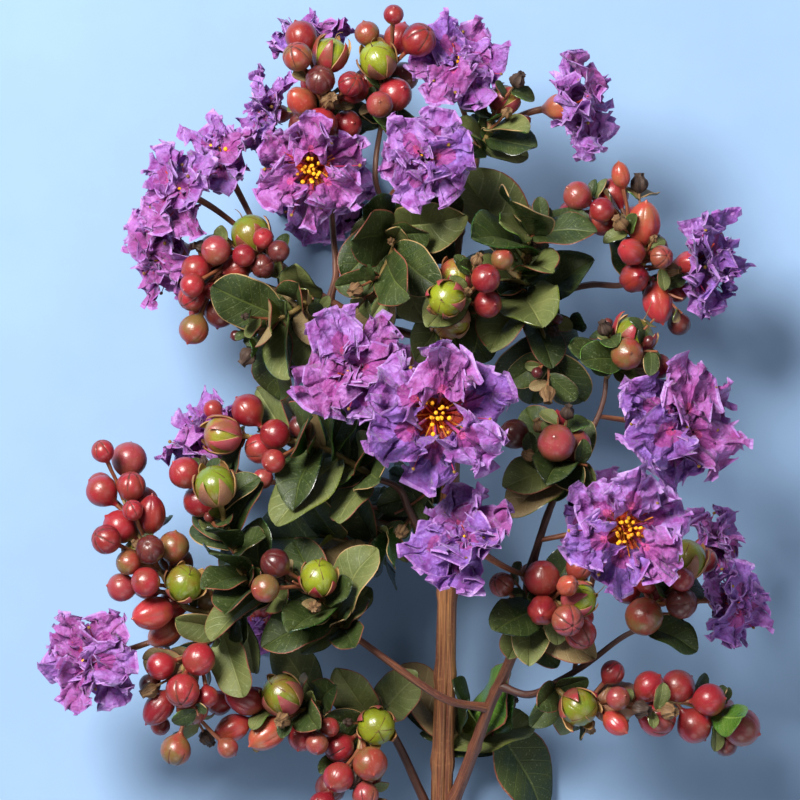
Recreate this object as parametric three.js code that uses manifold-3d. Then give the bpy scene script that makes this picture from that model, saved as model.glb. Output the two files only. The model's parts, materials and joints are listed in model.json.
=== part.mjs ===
// A cut flowering shoot of crape myrtle, lying on the ground on its back: the woody stem with its flat cut, the boughs
// that leave it, the ruffled blooms, each on its own stalk, and the masses of leaves, buds and ripe capsules.
// Millimetres. x runs across the shoot, y from the cut towards the crown, and z up.
import * as THREE from "three";
import { mergeVertices } from "three/addons/utils/BufferGeometryUtils.js";
import Module from "manifold-3d";

const GAP = 0.3; // left between a piece and the limb that carries it
const CLEAR = 0.45; // room that a leaf, bud, twig or petal keeps from those of other pieces
const OWN_ROOM = 0.3; // and a leaf or bud from the others of its own piece
const GROUND = 8; // its height: leaves and buds keep above it, and the blooms beneath are pressed flat against it
const TRIES = 60; // times that a leaf or a bud is tried before it is left out
const LIGHT = new THREE.Vector3(-0.1, 0.3, 1).normalize(); // leaves turn their upper sides to it

// A leaf's rim from its foot to its tip, along by across, as shares of its length and of half its width.
const LEAF = { rim: [[0, 0], [0.3, 0.9], [0.76, 0.92], [1, 0]], thick: 0.7, width: 0.64, grid: 2.5, ball: 1.25 };
// A bud from its neck to its nipple, as shares of its radius; its foot runs down to the stem.
const BUD = [[0.28, -1.08], [1.06, -0.28], [0.84, 0.62], [0, 1.12]];
const TWIG = { sides: 3, from: 0.85, to: 0.45, steps: 4 };
const STALK = { sides: 3, from: 0.6, to: 0.9, steps: 2 };
// A bloom's parts as shares of its width: six clawed petals round a cup-shaped calyx with a tuft of stamens.
const BLOOM = {
  petals: 6,
  rim: 8,
  bladeOut: 0.275,
  bladeLong: 0.215,
  bladeWide: 0.215,
  thick: 0.04,
  ruffle: 0.065,
  tilt: 0.27, // the most that a blade leans to a side
  nod: [-0.2, 0.25], // and up or down along its length
  cup: [-0.03, 0.06], // how far its rim is lifted
  step: 0.075,
  shoulder: [-0.9, 0.2],
  cupHigh: 0.2,
  clawRoot: [0.07, 0.16],
  cupRoom: [[0.08, 0.12], [0.15, 0.12], [0.27, 0.07]],
};
const CUP = [[0, -0.04], [0.108, 0.1], [0.09, 0.2], [0, 0.36]]; // with the tuft, the calyx's outline as shares too
const OPENINGS = [1, 0.85, 0.7, 0.55]; // how wide a petal opens, the widest that has room

// Limbs: the one that each leaves, its radius at both ends, its number of sides, and the line that it follows.
const LIMBS = {
  main_stem: {
    r: [3, 1.1], sides: 7,
    line: [[0, 0, 21], [0, 20, 23], [0.8, 50, 33], [1.5, 80, 42], [2.3, 112, 47], [2, 137, 50], [3, 158, 52],
      [5.3, 169, 54], [7.8, 179, 56], [8.3, 185, 57]],
  },
  right_bough: {
    of: "main_stem", r: [1.8, 1.1], sides: 5,
    line: [[0, 12, 22.2], [4, 20, 26], [8, 31, 34], [11.8, 42.5, 42], [16.3, 53, 50], [19.5, 62.5, 57], [21.8, 79, 66]],
  },
  cross_bough: {
    of: "right_bough", r: [1.05, 0.65], sides: 5,
    line: [[11.6, 42, 41.6], [2, 44, 47], [-5.8, 48.5, 50], [-13.3, 54, 52], [-21.5, 60, 52], [-29.5, 65.5, 51],
      [-38, 69, 50], [-48, 67.5, 49], [-58.3, 64.5, 47]],
  },
  left_bough: {
    of: "main_stem", r: [1.25, 0.65], sides: 5,
    line: [[0, 7.5, 21.6], [-5.8, 20, 22], [-11.3, 32, 24], [-16.3, 39.5, 27], [-23.3, 43.5, 30], [-32, 43, 31],
      [-39.5, 41, 30]],
  },
  low_right_bough: {
    of: "right_bough", r: [1, 0.6], sides: 5,
    line: [[14.2, 48, 46.2], [21.8, 45.8, 50], [29.3, 49.5, 54], [36.8, 54.3, 57], [45.8, 61, 58], [55.3, 64.5, 56]],
  },
  mid_right_bough: {
    of: "right_bough", r: [1, 0.55], sides: 5,
    line: [[21.4, 76.5, 64.8], [25.5, 90, 68], [28.8, 98, 68], [33.8, 107, 66], [37.8, 113.8, 64], [40.3, 120.5, 62],
      [41, 127, 60]],
  },
  mid_left_bough: {
    of: "main_stem", r: [1.1, 0.7], sides: 5,
    line: [[1.6, 81, 42.3], [-3.8, 84.3, 46], [-8.3, 92, 50], [-11.3, 98, 52], [-18.3, 100.5, 52], [-28.3, 102, 51]],
  },
  front_bough: {
    of: "main_stem", r: [1, 0.7], sides: 5,
    line: [[2, 98, 45], [-1, 101, 54], [-5, 106, 64], [-7, 111, 73]],
  },
  upper_left_bough: {
    of: "main_stem", r: [1.15, 0.75], sides: 5,
    line: [[2, 135, 49.7], [-8.3, 136.5, 55], [-19.5, 140, 59], [-29.5, 145.5, 61], [-35.8, 150, 61],
      [-41.3, 154.5, 61], [-46.8, 159.3, 60]],
  },
  upper_right_bough: {
    of: "main_stem", r: [1.15, 0.65], sides: 5,
    line: [[2.2, 132, 49.3], [11.8, 135.5, 50], [22.8, 141.8, 50], [29.5, 146.8, 50], [37.3, 149, 50],
      [45.5, 149, 49], [51.8, 153, 48]],
  },
  crown_left_bough: {
    of: "upper_left_bough", r: [0.9, 0.6], sides: 5,
    line: [[-28.4, 144.9, 60.8], [-26.8, 152, 61], [-27.5, 161.5, 59], [-28, 171.3, 55], [-27.5, 181.3, 51],
      [-29.3, 190, 49], [-31.3, 195.8, 48]],
  },
  crown_mid_bough: {
    of: "main_stem", r: [0.9, 0.6], sides: 5,
    line: [[3, 158.5, 52], [-4.5, 162.5, 55], [-12.8, 167, 57], [-16.5, 173.3, 57], [-16.8, 180.5, 56],
      [-15.3, 190, 54], [-14.3, 197, 53]],
  },
};

// Blooms: the middle of the petals, the way that the bloom faces, its width, and the limb and share where it is seated.
const BLOOMS = {
  bloom_heart: { at: [-1.5, 116, 100], face: [0.05, -0.08, 1], wide: 40, seat: ["front_bough", 1] },
  bloom_right_front: { at: [44.8, 88, 94], face: [0.05, -0.05, 1], wide: 35, seat: ["mid_right_bough", 0.1] },
  bloom_heart_left: { at: [-22.5, 128, 82], face: [-0.35, 0.3, 0.9], wide: 33, seat: ["front_bough", 0.85] },
  bloom_crown_front: { at: [-32.8, 177, 78], face: [-0.1, -0.15, 1], wide: 31, seat: ["crown_left_bough", 0.45] },
  bloom_crown_middle: { at: [-4.5, 180, 82], face: [-0.1, -0.2, 0.97], wide: 26, seat: ["crown_mid_bough", 0.4] },
  bloom_low_front: { at: [4.5, 86, 86], face: [-0.6, 0.45, 0.66], wide: 29, seat: ["right_bough", 0.97] },
  bloom_right: { at: [59.3, 114, 68], face: [0.4, 0, 0.9], wide: 36, seat: ["mid_right_bough", 0.72] },
  bloom_crown_top: { at: [3.8, 204, 66], face: [0.1, 0.35, 0.93], wide: 25, seat: ["main_stem", 1] },
  bloom_crown_right: { at: [34.5, 194, 58], face: [0.93, 0.1, 0.22], wide: 31, seat: ["main_stem", 0.97] },
  bloom_far_left: { at: [-88.3, 54.5, 54], face: [-0.45, -0.1, 0.88], wide: 27, seat: ["cross_bough", 1] },
  bloom_upper_right: { at: [67, 154.5, 50], face: [0.93, 0.02, 0.3], wide: 29, seat: ["upper_right_bough", 1] },
  bloom_upper_left_low: { at: [-70.3, 156, 56], face: [-0.8, -0.3, 0.5], wide: 26, seat: ["upper_left_bough", 0.84] },
  bloom_upper_left_mid: { at: [-66.5, 172, 70], face: [-0.6, 0.2, 0.77], wide: 23, seat: ["upper_left_bough", 1] },
  bloom_upper_left_top: { at: [-56.3, 181, 58], face: [-0.4, 0.7, 0.6], wide: 24, seat: ["upper_left_bough", 0.91] },
  bloom_left: { at: [-59.8, 111.5, 42], face: [-0.5, 0.75, 0.35], wide: 27, seat: ["mid_left_bough", 1] },
  bloom_crown_side: { at: [-44.3, 192.5, 50], face: [-0.9, 0.1, 0.35], wide: 21, seat: ["crown_left_bough", 0.9] },
  bloom_crown_left: { at: [-33.3, 211, 50], face: [-0.15, 0.9, 0.3], wide: 20, seat: ["crown_left_bough", 1] },
  bloom_low_right: { at: [73, 69, 58], face: [0.85, -0.1, 0.5], wide: 24, seat: ["low_right_bough", 1] },
  bloom_low_right_back: { at: [69, 84, 40], face: [0.75, 0.35, 0.5], wide: 22, seat: ["low_right_bough", 0.96] },
  bloom_under_left: { at: [-47, 66, 11], face: [-0.1, -0.1, -1], wide: 23, seat: ["cross_bough", 0.8] },
  bloom_under_heart: { at: [-11, 121, 11.7], face: [-0.1, 0.1, -1], wide: 30, seat: ["upper_left_bough", 0.15] },
  bloom_under_crown: { at: [-31, 174, 13], face: [-0.1, 0.15, -1], wide: 29, seat: ["crown_left_bough", 0.6] },
  bloom_under_right: { at: [44, 88, 12.4], face: [0.1, -0.1, -1], wide: 30, seat: ["low_right_bough", 0.5] },
};

// Masses: the limb and share where the stem is seated, the line on from there, and how many leaves, buds and ripe
// capsules it bears, each as [number, from, to, size, reach], with from and to as shares of the stem.
const MASSES = {
  crown_left_truss: {
    seat: ["crown_left_bough", 0.78], line: [[-30, 190, 62], [-31, 202, 70]], seed: 3,
    ripe: [1, 0.7, 0.9, 5, 5], buds: [11, 0.15, 1, 3.9, 8],
  },
  crown_mid_truss: {
    seat: ["crown_mid_bough", 0.8], line: [[-15, 196, 62], [-13, 206, 68]], seed: 5,
    ripe: [1, 0.6, 0.8, 4.4, 6], buds: [8, 0.3, 1, 4, 7], leaves: [3, 0, 0.3, 13, 0],
  },
  crown_right_spray: {
    seat: ["main_stem", 0.93], line: [[11, 186, 60], [13, 193, 62]], seed: 4,
    ripe: [1, 0.95, 1, 4.5, 3], leaves: [5, 0.05, 0.7, 14, 0],
  },
  upper_left_truss: {
    seat: ["upper_left_bough", 0.76], line: [[-49, 157, 66], [-57, 150, 66]], seed: 8,
    ripe: [1, 0.3, 0.4, 4.9, 4.5], buds: [13, 0.25, 1, 3.7, 6.2],
  },
  upper_left_spray: {
    seat: ["upper_left_bough", 0.55], line: [[-36, 143, 65], [-43, 139, 68]], seed: 11,
    leaves: [9, 0.05, 1, 21, 0],
  },
  crown_inner_spray: {
    seat: ["crown_mid_bough", 0.35], line: [[-12, 160, 65], [-16, 150, 72]], seed: 6,
    leaves: [11, 0.1, 1, 22, 0],
  },
  upper_right_spray: {
    seat: ["upper_right_bough", 0.3], line: [[19, 150, 56], [22, 162, 62]], seed: 21,
    leaves: [14, 0.05, 1, 24, 0],
  },
  upper_right_truss: {
    seat: ["upper_right_bough", 0.85], line: [[51, 156, 54], [47, 165, 55], [38, 168, 54]], seed: 15,
    buds: [11, 0.05, 1, 4.1, 5], leaves: [3, 0, 0.4, 15, 0],
  },
  right_side_truss: {
    seat: ["upper_right_bough", 0.96], line: [[54, 149, 51], [57, 145, 50]], seed: 2,
    buds: [5, 0.2, 1, 3.8, 4], leaves: [2, 0.1, 0.6, 11, 0],
  },
  right_truss: {
    seat: ["mid_right_bough", 0.97], line: [[44, 130, 63], [46, 132, 67]], seed: 9,
    ripe: [1, 0.2, 0.5, 5, 6], buds: [4, 0.4, 1, 4.1, 4], leaves: [5, 0, 0.7, 15, 0],
  },
  heart_spray: {
    seat: ["main_stem", 0.6], line: [[4, 143, 62], [5, 147, 72]], seed: 12,
    ripe: [3, 0.5, 1, 5.1, 8], buds: [2, 0.4, 0.9, 3.8, 9], leaves: [13, 0.1, 0.95, 22, 0],
  },
  mid_left_truss: {
    seat: ["mid_left_bough", 0.75], line: [[-30, 108, 57], [-40, 110, 58], [-51, 111, 56]], seed: 17,
    ripe: [1, 0.9, 1, 4.8, 5], buds: [7, 0.55, 1, 3.9, 5], leaves: [12, 0.1, 0.75, 22, 0],
  },
  left_truss: {
    seat: ["cross_bough", 0.94], line: [[-65, 68, 51], [-71, 77, 54], [-77, 87, 55], [-81, 97, 54]], seed: 7,
    ripe: [2, 0.25, 0.6, 4.7, 5], buds: [18, 0.15, 1, 4, 6.2], leaves: [1, 0.6, 0.8, 15, 0],
  },
  left_spray: {
    seat: ["cross_bough", 0.78], line: [[-50, 75, 55], [-53, 86, 58], [-60, 98, 58]], seed: 19,
    ripe: [1, 0.6, 0.8, 5, 9], buds: [2, 0.8, 1, 4.2, 5], leaves: [21, 0.05, 1, 18, 0],
  },
  cross_spray: {
    seat: ["cross_bough", 0.55], line: [[-30, 70, 58], [-34, 74, 63]], seed: 14,
    ripe: [2, 0.6, 1, 5, 6], buds: [2, 0.5, 1, 4, 6], leaves: [12, 0.1, 0.9, 20, 0],
  },
  centre_left_spray: {
    seat: ["main_stem", 0.42], line: [[-14, 84, 42], [-31, 86, 44]], seed: 33,
    leaves: [9, 0.5, 1, 21, 0],
  },
  low_left_truss: {
    seat: ["cross_bough", 0.88], line: [[-62, 57, 50], [-66, 50, 49], [-64, 41, 46]], seed: 25,
    buds: [9, 0.2, 1, 3.9, 6], leaves: [8, 0, 0.7, 18, 0],
  },
  low_left_spray: {
    seat: ["left_bough", 0.8], line: [[-37, 41, 38], [-48, 42, 40]], seed: 10,
    ripe: [1, 0.4, 0.6, 5, 6], buds: [7, 0.2, 1, 4.2, 6.2], leaves: [11, 0, 1, 18, 0],
  },
  low_middle_truss: {
    seat: ["left_bough", 0.5], line: [[-20, 36, 35], [-22, 27, 37]], seed: 13,
    ripe: [1, 0.1, 0.2, 5.6, 9], buds: [8, 0.4, 1, 4.1, 6], leaves: [6, 0, 0.6, 18, 0],
  },
  stem_spray: {
    seat: ["main_stem", 0.14], line: [[4, 35, 24], [14, 38, 23]], seed: 20,
    leaves: [11, 0.1, 1, 26, 0],
  },
  right_inner_truss: {
    seat: ["right_bough", 0.8], line: [[25, 70, 67], [30, 69, 72]], seed: 31,
    ripe: [1, 0.8, 1, 5.1, 4], buds: [7, 0.4, 1, 4.3, 6], leaves: [9, 0.1, 0.7, 18, 0],
  },
  far_right_truss: {
    seat: ["low_right_bough", 0.85], line: [[54, 70, 62], [60, 75, 64]], seed: 16,
    ripe: [1, 0.8, 1, 5.2, 4], buds: [7, 0.1, 1, 4.4, 5], leaves: [3, 0, 0.6, 14, 0],
  },
  low_right_truss: {
    seat: ["low_right_bough", 0.35], line: [[34, 44, 57], [47, 43, 56], [60, 44, 53], [71, 39, 50]], seed: 22,
    ripe: [3, 0.1, 0.45, 5.3, 4], buds: [13, 0.4, 1, 4.4, 4.2], leaves: [5, 0, 0.4, 15, 0],
  },
  mid_right_spray: {
    seat: ["mid_right_bough", 0.4], line: [[29, 104, 73], [30, 108, 77]], seed: 23,
    buds: [3, 0.4, 1, 4.2, 6], leaves: [8, 0.05, 1, 18, 0],
  },
  centre_right_spray: {
    seat: ["upper_right_bough", 0.3], line: [[24, 140, 52], [27, 130, 58]], seed: 30,
    leaves: [8, 0.1, 1, 21, 0],
  },
};

const COLOURS = { bark: 0x8a5a3c, petal: 0x9a58c8, foliage: 0x3f5a2c };
const ROUGHNESS = { bark: 0.8, petal: 0.75, foliage: 0.5 };

const wasm = await Module();
wasm.setup();

const vector = (list) => new THREE.Vector3(...list);
const mixed = (a, b, share) => a + (b - a) * share;

// ---- a random rule that gives the same numbers every time ----
function seeded(seed) {
  let state = seed;
  return () => {
    state = (state + 0x6d2b79f5) | 0;
    let t = Math.imul(state ^ (state >>> 15), 1 | state);
    t = (t + Math.imul(t ^ (t >>> 7), 61 | t)) ^ t;
    return ((t ^ (t >>> 14)) >>> 0) / 4294967296;
  };
}

// ---- the space that is taken, as balls, so that nothing grows through anything ----
const taken = [];

function isFree(balls, owner, ownRoom) {
  const room = (other) => (other.owner === owner ? ownRoom : CLEAR);
  return balls.every(({ at, r }) =>
    taken.every((other) => other.owner === `${owner} stem` || other.at.distanceTo(at) > other.r + r + room(other)),
  );
}

const isAboveGround = (balls) => balls.every(({ at, r }) => at.z - r > GROUND);

const take = (balls, owner) => taken.push(...balls.map((ball) => ({ ...ball, owner })));

function ballsAlong(curve, from, to, r0, r1) {
  const count = Math.ceil(curve.getLength() / Math.max(r0, r1) / 0.9);
  return Array.from({ length: count + 1 }, (_, i) => i / count)
    .filter((t) => t >= from && t <= to)
    .map((t) => ({ at: curve.getPoint(t), r: mixed(r0, r1, t) }));
}

// ---- curves and frames ----
const smooth = (points) => new THREE.CatmullRomCurve3(points, false, "catmullrom", 0.5);

// The axis that a curve runs along least is the one that its sides are counted from.
function steadyAxis(curve) {
  const chord = curve.getPoint(1).sub(curve.getPoint(0)).toArray().map(Math.abs);
  const least = chord.indexOf(Math.min(...chord));
  return vector([0, 1, 2].map((k) => (k === least ? 1 : 0)));
}

function frameAt(curve, t, axis = steadyAxis(curve)) {
  const along = curve.getTangent(t);
  const out = axis.clone().addScaledVector(along, -axis.dot(along)).normalize();
  return { at: curve.getPoint(t), along, out, side: out.clone().cross(along) };
}

// The point at a share of a tube that is straight from each ring of its sides to the next.
function pointOnTube(curve, t, steps) {
  const reached = t * steps * 0.97;
  const ring = Math.floor(reached);
  return curve.getPoint(ring / steps).lerp(curve.getPoint((ring + 1) / steps), reached - ring);
}

// A direction at right angles to another, as near as may be to the one wanted.
const squareTo = (direction, wanted) => wanted.clone().addScaledVector(direction, -wanted.dot(direction)).normalize();

// ---- geometry and solids ----
function reshape(geometry, place) {
  const position = geometry.getAttribute("position");
  for (let i = 0; i < position.count; i++)
    position.setXYZ(i, ...place(new THREE.Vector3().fromBufferAttribute(position, i)).toArray());
  return geometry;
}

function solid(geometry) {
  geometry.deleteAttribute("normal");
  geometry.deleteAttribute("uv");
  const merged = mergeVertices(geometry, 1e-4);
  const index = merged.index.array;
  const kept = [];
  for (let i = 0; i < index.length; i += 3) {
    const [a, b, c] = index.slice(i, i + 3);
    if (a !== b && b !== c && c !== a) kept.push(a, b, c);
  }
  const mesh = { numProp: 3, vertProperties: merged.attributes.position.array, triVerts: new Uint32Array(kept) };
  return new wasm.Manifold(new wasm.Mesh(mesh));
}

// A solid turned about the y axis from its outline, then placed.
const turned = (outline, sides, place) =>
  solid(reshape(new THREE.LatheGeometry(outline.map(([r, y]) => new THREE.Vector2(r, y)), sides), place));

const joined = (solids) => solids.reduce((whole, next) => whole.add(next));

const largest = (whole) => whole.decompose().sort((a, b) => b.volume() - a.volume())[0];

function tube(curve, r0, r1, sides, steps) {
  const axis = steadyAxis(curve);
  return reshape(new THREE.CylinderGeometry(1, 1, 1, sides, steps), (p) => {
    const t = p.y + 0.5;
    const { at, out, side } = frameAt(curve, t, axis);
    const r = mixed(r0, r1, t);
    return at.addScaledVector(out, p.x * r).addScaledVector(side, p.z * r);
  });
}

function geometryOf(whole) {
  const mesh = whole.getMesh();
  const geometry = new THREE.BufferGeometry();
  geometry.setAttribute("position", new THREE.BufferAttribute(mesh.vertProperties, 3));
  geometry.setIndex(new THREE.BufferAttribute(mesh.triVerts, 1));
  return geometry;
}

// Trims whatever the ground presses flat.
const groundBlock = solid(new THREE.BoxGeometry(400, 500, 100).translate(0, 100, GROUND - 50));

const group = new THREE.Group();

function addNode(name, whole, slot) {
  const kept = largest(whole.subtract(groundBlock));
  const geometry = geometryOf(kept);
  geometry.computeVertexNormals();
  const mesh = new THREE.Mesh(
    geometry,
    new THREE.MeshStandardMaterial({ color: COLOURS[slot], roughness: ROUGHNESS[slot] }),
  );
  mesh.name = name;
  group.add(mesh);
}

// ---- limbs ----
const limbs = {};

function growLimb(name, { of, r, sides, line }) {
  const curve = smooth(line.map(vector));
  const steps = Math.round(1.5 * line.length);
  let whole = solid(flatCut(tube(curve, ...r, sides, steps), of));
  if (of) whole = whole.subtract(limbs[of].grown);
  const grown = solid(tube(curve, r[0] + GAP, r[1] + GAP, sides, steps));
  limbs[name] = { curve, r, grown };
  take(ballsAlong(curve, 0, 1, ...r), name);
  addNode(name, whole, "bark");
}

// The stem's foot is cut square across, in the plane y = 0.
function flatCut(geometry, of) {
  if (of) return geometry;
  const ringDepth = 1;
  return reshape(geometry, (p) => (Math.abs(p.y) < ringDepth ? p.setY(0) : p));
}

// ---- leaves, buds and capsules ----
function leafPoint(leaf, s, w, h) {
  const half = (leaf.long * LEAF.width) / 2;
  const lift = h + leaf.fold * Math.abs(w) * half - leaf.curl * leaf.long * s * s;
  return leaf.base
    .clone()
    .addScaledVector(leaf.along, leaf.long * s)
    .addScaledVector(leaf.side, w * half)
    .addScaledVector(leaf.up, lift);
}

function leafSolid(leaf) {
  const shape = new THREE.SphereGeometry(1, 2 * (LEAF.rim.length - 1), 2);
  return solid(
    reshape(shape, (p) => {
      const step = Math.acos(THREE.MathUtils.clamp(-p.x, -1, 1)) / Math.PI * (LEAF.rim.length - 1);
      const [s, w] = LEAF.rim[Math.round(step)];
      const onRim = Math.abs(p.y) < 0.5;
      return leafPoint(leaf, onRim ? s : 0.45, onRim ? w * Math.sign(p.z) : 0, (p.y * LEAF.thick) / 2);
    }),
  );
}

function leafBalls(leaf) {
  const rows = Math.round(leaf.long / LEAF.grid);
  const balls = [{ at: leafPoint(leaf, 0.12, 0, 0), r: LEAF.ball / 2 }];
  for (let i = 1; i <= rows; i++) {
    const s = mixed(0.2, 0.95, i / rows);
    const across = Math.sqrt(1 - (2 * s - 1) ** 2);
    const columns = Math.max(1, Math.round((across * leaf.long * LEAF.width) / LEAF.grid));
    for (let j = 0; j < columns; j++)
      balls.push({ at: leafPoint(leaf, s, across * ((2 * j + 1) / columns - 1), 0), r: LEAF.ball });
  }
  return balls;
}

function bornLeaf(curve, [, from, to, long], share, turn, random) {
  const t = mixed(from, to, share);
  const { along, out, side } = frameAt(curve, t);
  const angle = turn + mixed(-0.5, 0.5, random());
  const away = out.multiplyScalar(Math.cos(angle)).addScaledVector(side, Math.sin(angle));
  const lean = mixed(0.75, 1.35, random());
  const direction = along.clone().multiplyScalar(Math.cos(lean)).addScaledVector(away, Math.sin(lean));
  const inner = along.multiplyScalar(Math.sin(lean)).addScaledVector(away, -Math.cos(lean));
  const toLight = LIGHT.clone().multiplyScalar(mixed(0.6, 2.2, random()));
  const up = squareTo(direction, inner.add(toLight));
  return {
    base: pointOnTube(curve, t, TWIG.steps),
    along: direction,
    up,
    side: direction.clone().cross(up),
    long: long * mixed(0.75, 1.15, random()),
    fold: mixed(0.05, 0.5, random()),
    curl: mixed(-0.05, 0.22, random()),
  };
}

function bornBud(curve, [, from, to, size, reach], share, turn, random) {
  const t = mixed(from, to, share);
  const { along, out, side } = frameAt(curve, t);
  const angle = turn + mixed(-0.7, 0.7, random());
  const away = out.multiplyScalar(Math.cos(angle)).addScaledVector(side, Math.sin(angle));
  const lean = mixed(0.5, 1.3, random()) * (1 - 0.5 * t);
  const direction = along.multiplyScalar(Math.cos(lean)).addScaledVector(away, Math.sin(lean));
  const r = size * mixed(0.86, 1.1, random());
  const base = pointOnTube(curve, t, TWIG.steps);
  const middle = base.clone().addScaledVector(direction, reach * mixed(0.85, 1.9, random()));
  return { base, along: direction, middle, r };
}

function budSolid(bud) {
  const out = squareTo(bud.along, vector([0.3, 0.5, 0.8]));
  const side = out.clone().cross(bud.along);
  const foot = -bud.base.distanceTo(bud.middle);
  const outline = [[0, foot], ...BUD.map(([r, y]) => [r * bud.r, y * bud.r])];
  return turned(outline, 5, (p) =>
    bud.middle
      .clone()
      .addScaledVector(out, p.x)
      .addScaledVector(bud.along, p.y)
      .addScaledVector(side, p.z),
  );
}

function budBalls(bud) {
  const neck = bud.base.clone().lerp(bud.middle, 0.4);
  return [{ at: bud.middle, r: bud.r }, { at: neck, r: 0.5 }];
}

// Things of one kind along a stem: each is turned by the golden angle from the last, and tried again elsewhere where
// it has no room.
const KINDS = {
  ripe: { born: bornBud, shape: budSolid, balls: budBalls },
  buds: { born: bornBud, shape: budSolid, balls: budBalls },
  leaves: { born: bornLeaf, shape: leafSolid, balls: leafBalls },
};
const GOLDEN = Math.PI * (3 - Math.sqrt(5));

function bear(kind, curve, spec, owner, random) {
  const { born, shape, balls } = KINDS[kind];
  const borne = [];
  for (let i = 0; i < spec[0]; i++) {
    for (let turn = 0; turn < TRIES; turn++) {
      const share = 1 - Math.abs(1 - Math.abs((i + mixed(-0.5, 1.5, random())) / spec[0]));
      const item = born(curve, spec, share, (i + turn) * GOLDEN, random);
      if (!isAboveGround(balls(item)) || !isFree(balls(item), owner, OWN_ROOM)) continue;
      take(balls(item), owner);
      borne.push(shape(item));
      break;
    }
  }
  return borne;
}

// ---- masses: first every stem, then what grows on each ----
function seatMass([name, mass]) {
  const [limb, share] = mass.seat;
  const curve = smooth([limbs[limb].curve.getPoint(share), ...mass.line.map(vector)]);
  take(ballsAlong(curve, 0, 1, TWIG.from, TWIG.to), `${name} stem`);
  return { name, mass, curve, grown: limbs[limb].grown };
}

function growMass({ name, mass, curve, grown }) {
  const random = seeded(mass.seed);
  const solids = [solid(tube(curve, TWIG.from, TWIG.to, TWIG.sides, TWIG.steps))];
  for (const kind of ["ripe", "buds", "leaves"])
    if (mass[kind]) solids.push(...bear(kind, curve, mass[kind], name, random));
  addNode(name, joined(solids).subtract(grown), "foliage");
}

// ---- blooms: first every stalk with its calyx, then the petals ----
function petalFrame(bloom, k, opening) {
  const turn = (k / BLOOM.petals) * 2 * Math.PI;
  const outward = bloom.u.clone().multiplyScalar(Math.cos(turn)).addScaledVector(bloom.v, Math.sin(turn));
  const rise = (1 - opening) * 1.9 + (k % 2 ? 0.08 : -0.06);
  const along = outward.clone().multiplyScalar(Math.cos(rise)).addScaledVector(bloom.face, Math.sin(rise));
  const up = squareTo(along, bloom.face.clone().addScaledVector(outward, -0.4 * (1 - opening)));
  const middle = bloom.at
    .clone()
    .addScaledVector(outward, bloom.wide * BLOOM.bladeOut * mixed(0.35, 1, (opening - 0.3) / 0.7))
    .addScaledVector(bloom.face, bloom.wide * (0.16 * (1 - opening) + (k % 2 ? BLOOM.step : -BLOOM.step)));
  const root = bloom.base
    .clone()
    .addScaledVector(outward, bloom.wide * BLOOM.clawRoot[0])
    .addScaledVector(bloom.face, bloom.wide * BLOOM.clawRoot[1]);
  return { root, middle, along, up, side: along.clone().cross(up) };
}

function petalBalls(bloom, frame) {
  const long = bloom.wide * BLOOM.bladeLong;
  const wide = bloom.wide * BLOOM.bladeWide;
  const spots = [[0, 0], [0.68, 0], [-0.6, 0], [0, 0.6], [0, -0.6], [0.55, 0.5], [0.55, -0.5]];
  const blade = spots.map(([a, b]) => ({
    at: frame.middle.clone().addScaledVector(frame.along, a * long).addScaledVector(frame.side, b * wide),
    r: bloom.wide * 0.09,
  }));
  return [...blade, { at: frame.root.clone().lerp(frame.middle, 0.35), r: bloom.wide * 0.03 }];
}

// A petal is a ruffled and tilted blade; the point of its rim that looks inwards is drawn out to the throat as the claw.
function petalSolid(bloom, frame, random) {
  const phase = random() * 6;
  const tilt = mixed(-BLOOM.tilt, BLOOM.tilt, random());
  const nod = mixed(...BLOOM.nod, random());
  const cup = mixed(...BLOOM.cup, random());
  const long = bloom.wide * BLOOM.bladeLong;
  const wide = bloom.wide * BLOOM.bladeWide;
  return solid(
    reshape(new THREE.SphereGeometry(1, BLOOM.rim, 2), (p) => {
      if (p.x < -0.9) return frame.root.clone();
      const [x, z] = p.x < -0.7 ? [BLOOM.shoulder[0], Math.sign(p.z) * BLOOM.shoulder[1]] : [p.x, p.z];
      const ruffle = p.x > -0.7 && Math.abs(p.y) < 0.5 ? Math.sin(3 * Math.atan2(p.z, p.x) + phase) : 0;
      const lift = Math.hypot(x, z) > 0.5 ? cup : 0;
      const height =
        bloom.wide * (p.y * BLOOM.thick + ruffle * BLOOM.ruffle + lift) + z * wide * tilt + x * long * nod;
      return frame.middle
        .clone()
        .addScaledVector(frame.along, x * long)
        .addScaledVector(frame.side, z * wide)
        .addScaledVector(frame.up, height);
    }),
  );
}

// The calyx and the tuft of stamens that stands in it are turned from one outline.
const calyxSolid = (bloom) =>
  turned(CUP.map(([r, y]) => [r * bloom.wide, y * bloom.wide]), 6, (p) =>
    bloom.base
      .clone()
      .addScaledVector(bloom.u, p.x)
      .addScaledVector(bloom.face, p.y)
      .addScaledVector(bloom.v, p.z),
  );

function seatBloom([name, { at, face, wide, seat }], number) {
  const random = seeded(100 + number);
  const bloom = { name, random, wide, at: vector(at), face: vector(face).normalize() };
  bloom.u = squareTo(bloom.face, vector([1, 0.2, 0.1])).applyAxisAngle(bloom.face, random());
  bloom.v = bloom.u.clone().cross(bloom.face);
  bloom.base = bloom.at.clone().addScaledVector(bloom.face, -wide * (BLOOM.cupHigh + 0.09));
  bloom.limb = limbs[seat[0]];
  const start = bloom.limb.curve.getPoint(seat[1]);
  const knee = bloom.base.clone().addScaledVector(bloom.face, -0.45 * start.distanceTo(bloom.base));
  bloom.stalk = new THREE.QuadraticBezierCurve3(start, knee, bloom.base);
  take(ballsAlong(bloom.stalk, 0, 1, STALK.from, STALK.to), name);
  for (const [height, r] of BLOOM.cupRoom)
    take([{ at: bloom.base.clone().addScaledVector(bloom.face, height * wide), r: r * wide }], name);
  return bloom;
}

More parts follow.
